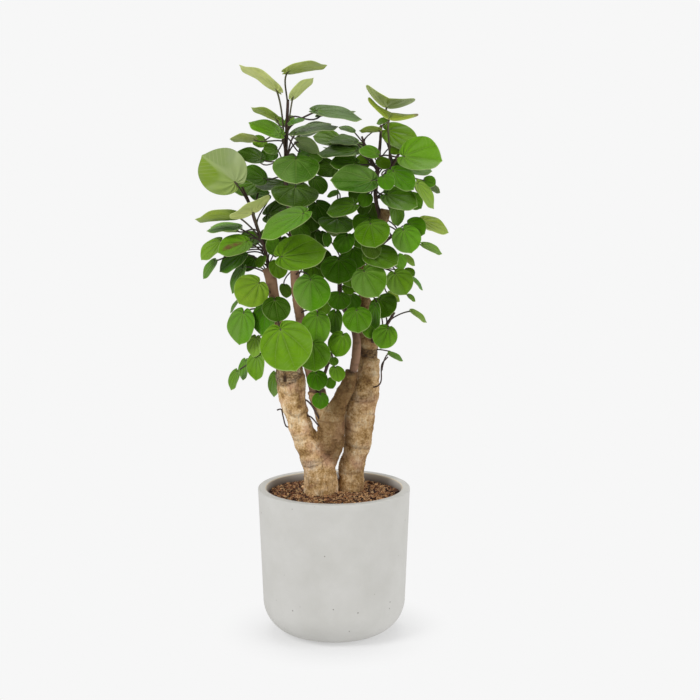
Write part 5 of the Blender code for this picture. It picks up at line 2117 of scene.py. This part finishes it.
@dataclass(frozen=True)
class Studio:
    """The camera, the pale floor and backdrop, and the soft lamps: name, place, watts and side."""

    lens: float = 80.13
    sensor: float = 36.0
    pitch: float = 8.86
    clip_end: float = 200.0
    paper: str = "#F7F7F7"
    shadowed_paper: str = "#ECECED"
    ambient: float = 0.46
    floor_radius: float = 8.0
    floor_steps: int = 96
    floor_blend: tuple = (0.085, 0.205)
    floor_glow: tuple = (0.42, 1.0)
    dome_radius: float = 30.0
    dome_steps: int = 48
    dome_end: float = 89.9
    lamps: tuple = (
        ("key", (-2.2, -2.0, 2.4), 65.0, 1.4), ("fill", (2.5, -1.2, 1.2), 34.0, 1.8),
        ("top", (0.0, 0.9, 2.7), 26.0, 2.0),
    )
    aim: tuple = (0.0, 0.0, 0.5)

    def camera(self) -> None:
        """Place the camera as it stood for the photograph."""
        data = bpy.data.cameras.new("camera")
        data.lens = self.lens
        data.sensor_width = self.sensor
        data.clip_end = self.clip_end
        camera = bpy.data.objects.new("camera", data)
        camera.location = EYE
        camera.rotation_euler = (math.radians(90 - self.pitch), 0.0, 0.0)
        bpy.context.scene.collection.objects.link(camera)
        bpy.context.scene.camera = camera

    def paper_material(self) -> bpy.types.Material:
        """White paper that takes the shadow near the pot and glows evenly further off.

        Returns:
            The material.
        """
        material, add = begin_material("paper")
        place = add("NewGeometry", out="Position")
        flat = add("VectorMath", {0: place, 1: (1.0, 1.0, 0.0)}, operation="MULTIPLY")
        radius = add("VectorMath", {0: flat}, out="Value", operation="LENGTH")
        share = add("MapRange", {"Value": radius, **ends("From", self.floor_blend),
                                 **ends("To", self.floor_glow)}, **SMOOTH)
        matt = add("BsdfDiffuse", {"Color": linear(self.shadowed_paper)})
        glow = add("Emission", {"Color": linear(self.paper), "Strength": 1.0})
        mixed = add("MixShader", {0: share, 1: matt, 2: glow})
        add("OutputMaterial", {"Surface": mixed})
        return material

    def backdrop(self) -> None:
        """Lay the round floor and hang a glowing dome that only the camera sees."""
        floor = MeshGatherer()
        steps = self.floor_steps
        angles = np.arange(steps) * math.tau / steps
        ring = np.column_stack((np.cos(angles), np.sin(angles), np.zeros(steps))) * self.floor_radius
        floor.add(ring, [tuple(range(steps))])
        ground = floor.build("floor", [self.paper_material()])
        glow, add = begin_material("backdrop")
        light = add("Emission", {"Color": linear(self.paper), "Strength": 1.0})
        add("OutputMaterial", {"Surface": light})
        shell = MeshGatherer()
        profile = arc((0.0, 0.0), self.dome_radius, -self.dome_end, self.dome_end, self.dome_steps // 2)
        shell.add(*turned([(0.0, -self.dome_radius), *profile, (0.0, self.dome_radius)], self.dome_steps))
        dome = shell.build("dome", [glow])
        for ray in ("diffuse", "glossy", "transmission", "volume_scatter", "shadow"):
            setattr(dome, f"visible_{ray}", False)

    def lamp(self, name: str, place: tuple, power: float, size: float) -> None:
        """Hang a soft square lamp that the camera doesn't see.

        Args:
            name: its name.
            place: where it hangs, in metres.
            power: its power in watts.
            size: the length of its side in metres.
        """
        data = bpy.data.lights.new(name, "AREA")
        data.energy = power
        data.size = size
        lamp = bpy.data.objects.new(name, data)
        lamp.location = place
        lamp.rotation_euler = (Vector(self.aim) - Vector(place)).to_track_quat("-Z", "Y").to_euler()
        lamp.visible_camera = False
        bpy.context.scene.collection.objects.link(lamp)

    def build(self) -> None:
        """Set the whole studio up."""
        self.camera()
        self.backdrop()
        world = bpy.data.worlds.new("studio")
        world.use_nodes = True
        sky = world.node_tree.nodes["Background"]
        sky.inputs["Color"].default_value = linear("#FFFFFF")
        sky.inputs["Strength"].default_value = self.ambient
        bpy.context.scene.world = world
        bpy.context.scene.view_settings.view_transform = "Standard"
        for lamp in self.lamps:
            self.lamp(*lamp)


# Seams: x, z, half width, sag, lean, strength, and where given the height and darkness of the strip above,
# painted shade with dark cut wood on the left trunk's top
LEFT_SEAMS = [
    Seam(-33, 279, 24, 8, 8, 1.0, 14, 0.36), Seam(-61, 361, 15, 9, 0, 0.9), Seam(-56, 322, 12, 2, 2, 0.6),
    Seam(-44, 297, 20, 12, 4, 0.5), Seam(-22, 250, 22, 6, -2, 0.5), Seam(-64, 398, 16, 5, 3, 0.6),
    Seam(-80, 413, 32, 14, 4, 1.0, 40, 0.75),
]
RIGHT_SEAMS = [
    Seam(42, 384, 24, 3, -3, 1.0, 14, 0.36), Seam(36, 306, 20, 0.5, -4, 0.9),
    Seam(27, 262, 16, 2, 0, 0.8, 10, 0.3), Seam(42, 345, 22, 3, 2, 0.3), Seam(56, 424, 18, 3, 2, 0.5),
    Seam(58, 454, 20, 6, -2, 1.0, 17, 0.85),
]
# Painted shade of each limb, in the order of the limbs
LEFT_SHADES = [0.0, 1.0, 0.5, 1.25]
RIGHT_SHADES = [0.35, 0.9]
# Marks: the dark socket and hollows take painted shade, the cut tops their dark wood
LEFT_MARKS = [
    Mark(-81, 423, -15, 7, 9, 15, -3.0, 1.0),
    Mark(-76, 447, 8, 30, 30, 13, -1.0, 0.85),
    Mark(-30, 288, -16, 30, 16, 5, 1.2, 0.0),
    Mark(0, 325, -6, 14, 14, 13, 3.2, 0.0, 1.3),
    Mark(-23, 403, 0, 14, 20, 9, -1.5, 0.95),
    Mark(29, 436, -6, 11, 16, 9, -1.5, 0.9),
    Mark(25, 412, -8, 9, 10, 12, 2.5, 0.15, 1.3),
]
# The dark of the hollows round the neck is painted shade
RIGHT_MARKS = [
    Mark(60, 462, 12, 24, 24, 9, -1.0, 0.4),
    Mark(60, 400, 2, 9, 10, 8, -1.5, 0.4),
    Mark(46, 395, 4, 16, 14, 12, 1.5, 0.0),
    Mark(9, 280, 24, 9, 16, 20, 3.6, 0.0),
    Mark(70, 688, 14, 12, 14, 9, -1.0, 0.45, 0.8),
]


def write_sizes() -> None:
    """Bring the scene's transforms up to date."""
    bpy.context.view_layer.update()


def main() -> None:
    """Build the studio, the pot, the soil, the trunks and the leafy stems."""
    logging.basicConfig(level=logging.INFO, format="%(message)s")
    Studio().build()
    finishes = PlantFinishes.make()
    pot = ConcretePot()
    pot.build(CastConcrete().make())
    CoirSoil(pot).build(CoirAndBark().make())
    CutTrunk("trunk_left", TRUNK_LEFT, [BARE_STALK, TWIG, PALE_TWIG], LEFT_MARKS, LEFT_SEAMS,
             LEFT_SHADES).build(finishes)
    CutTrunk("trunk_right", TRUNK_RIGHT, [SIDE_STALK], RIGHT_MARKS, RIGHT_SEAMS,
             RIGHT_SHADES).build(finishes)
    grown = RoomSearch().grow_all()
    maker = LeafMaker()
    for name, leaves in grown.items():
        log.info("%s: %d leaves", name, len(leaves))
        LeafyStem(name, leaves, maker).build(finishes)
    write_sizes()


if __name__ == "__main__":
    main()
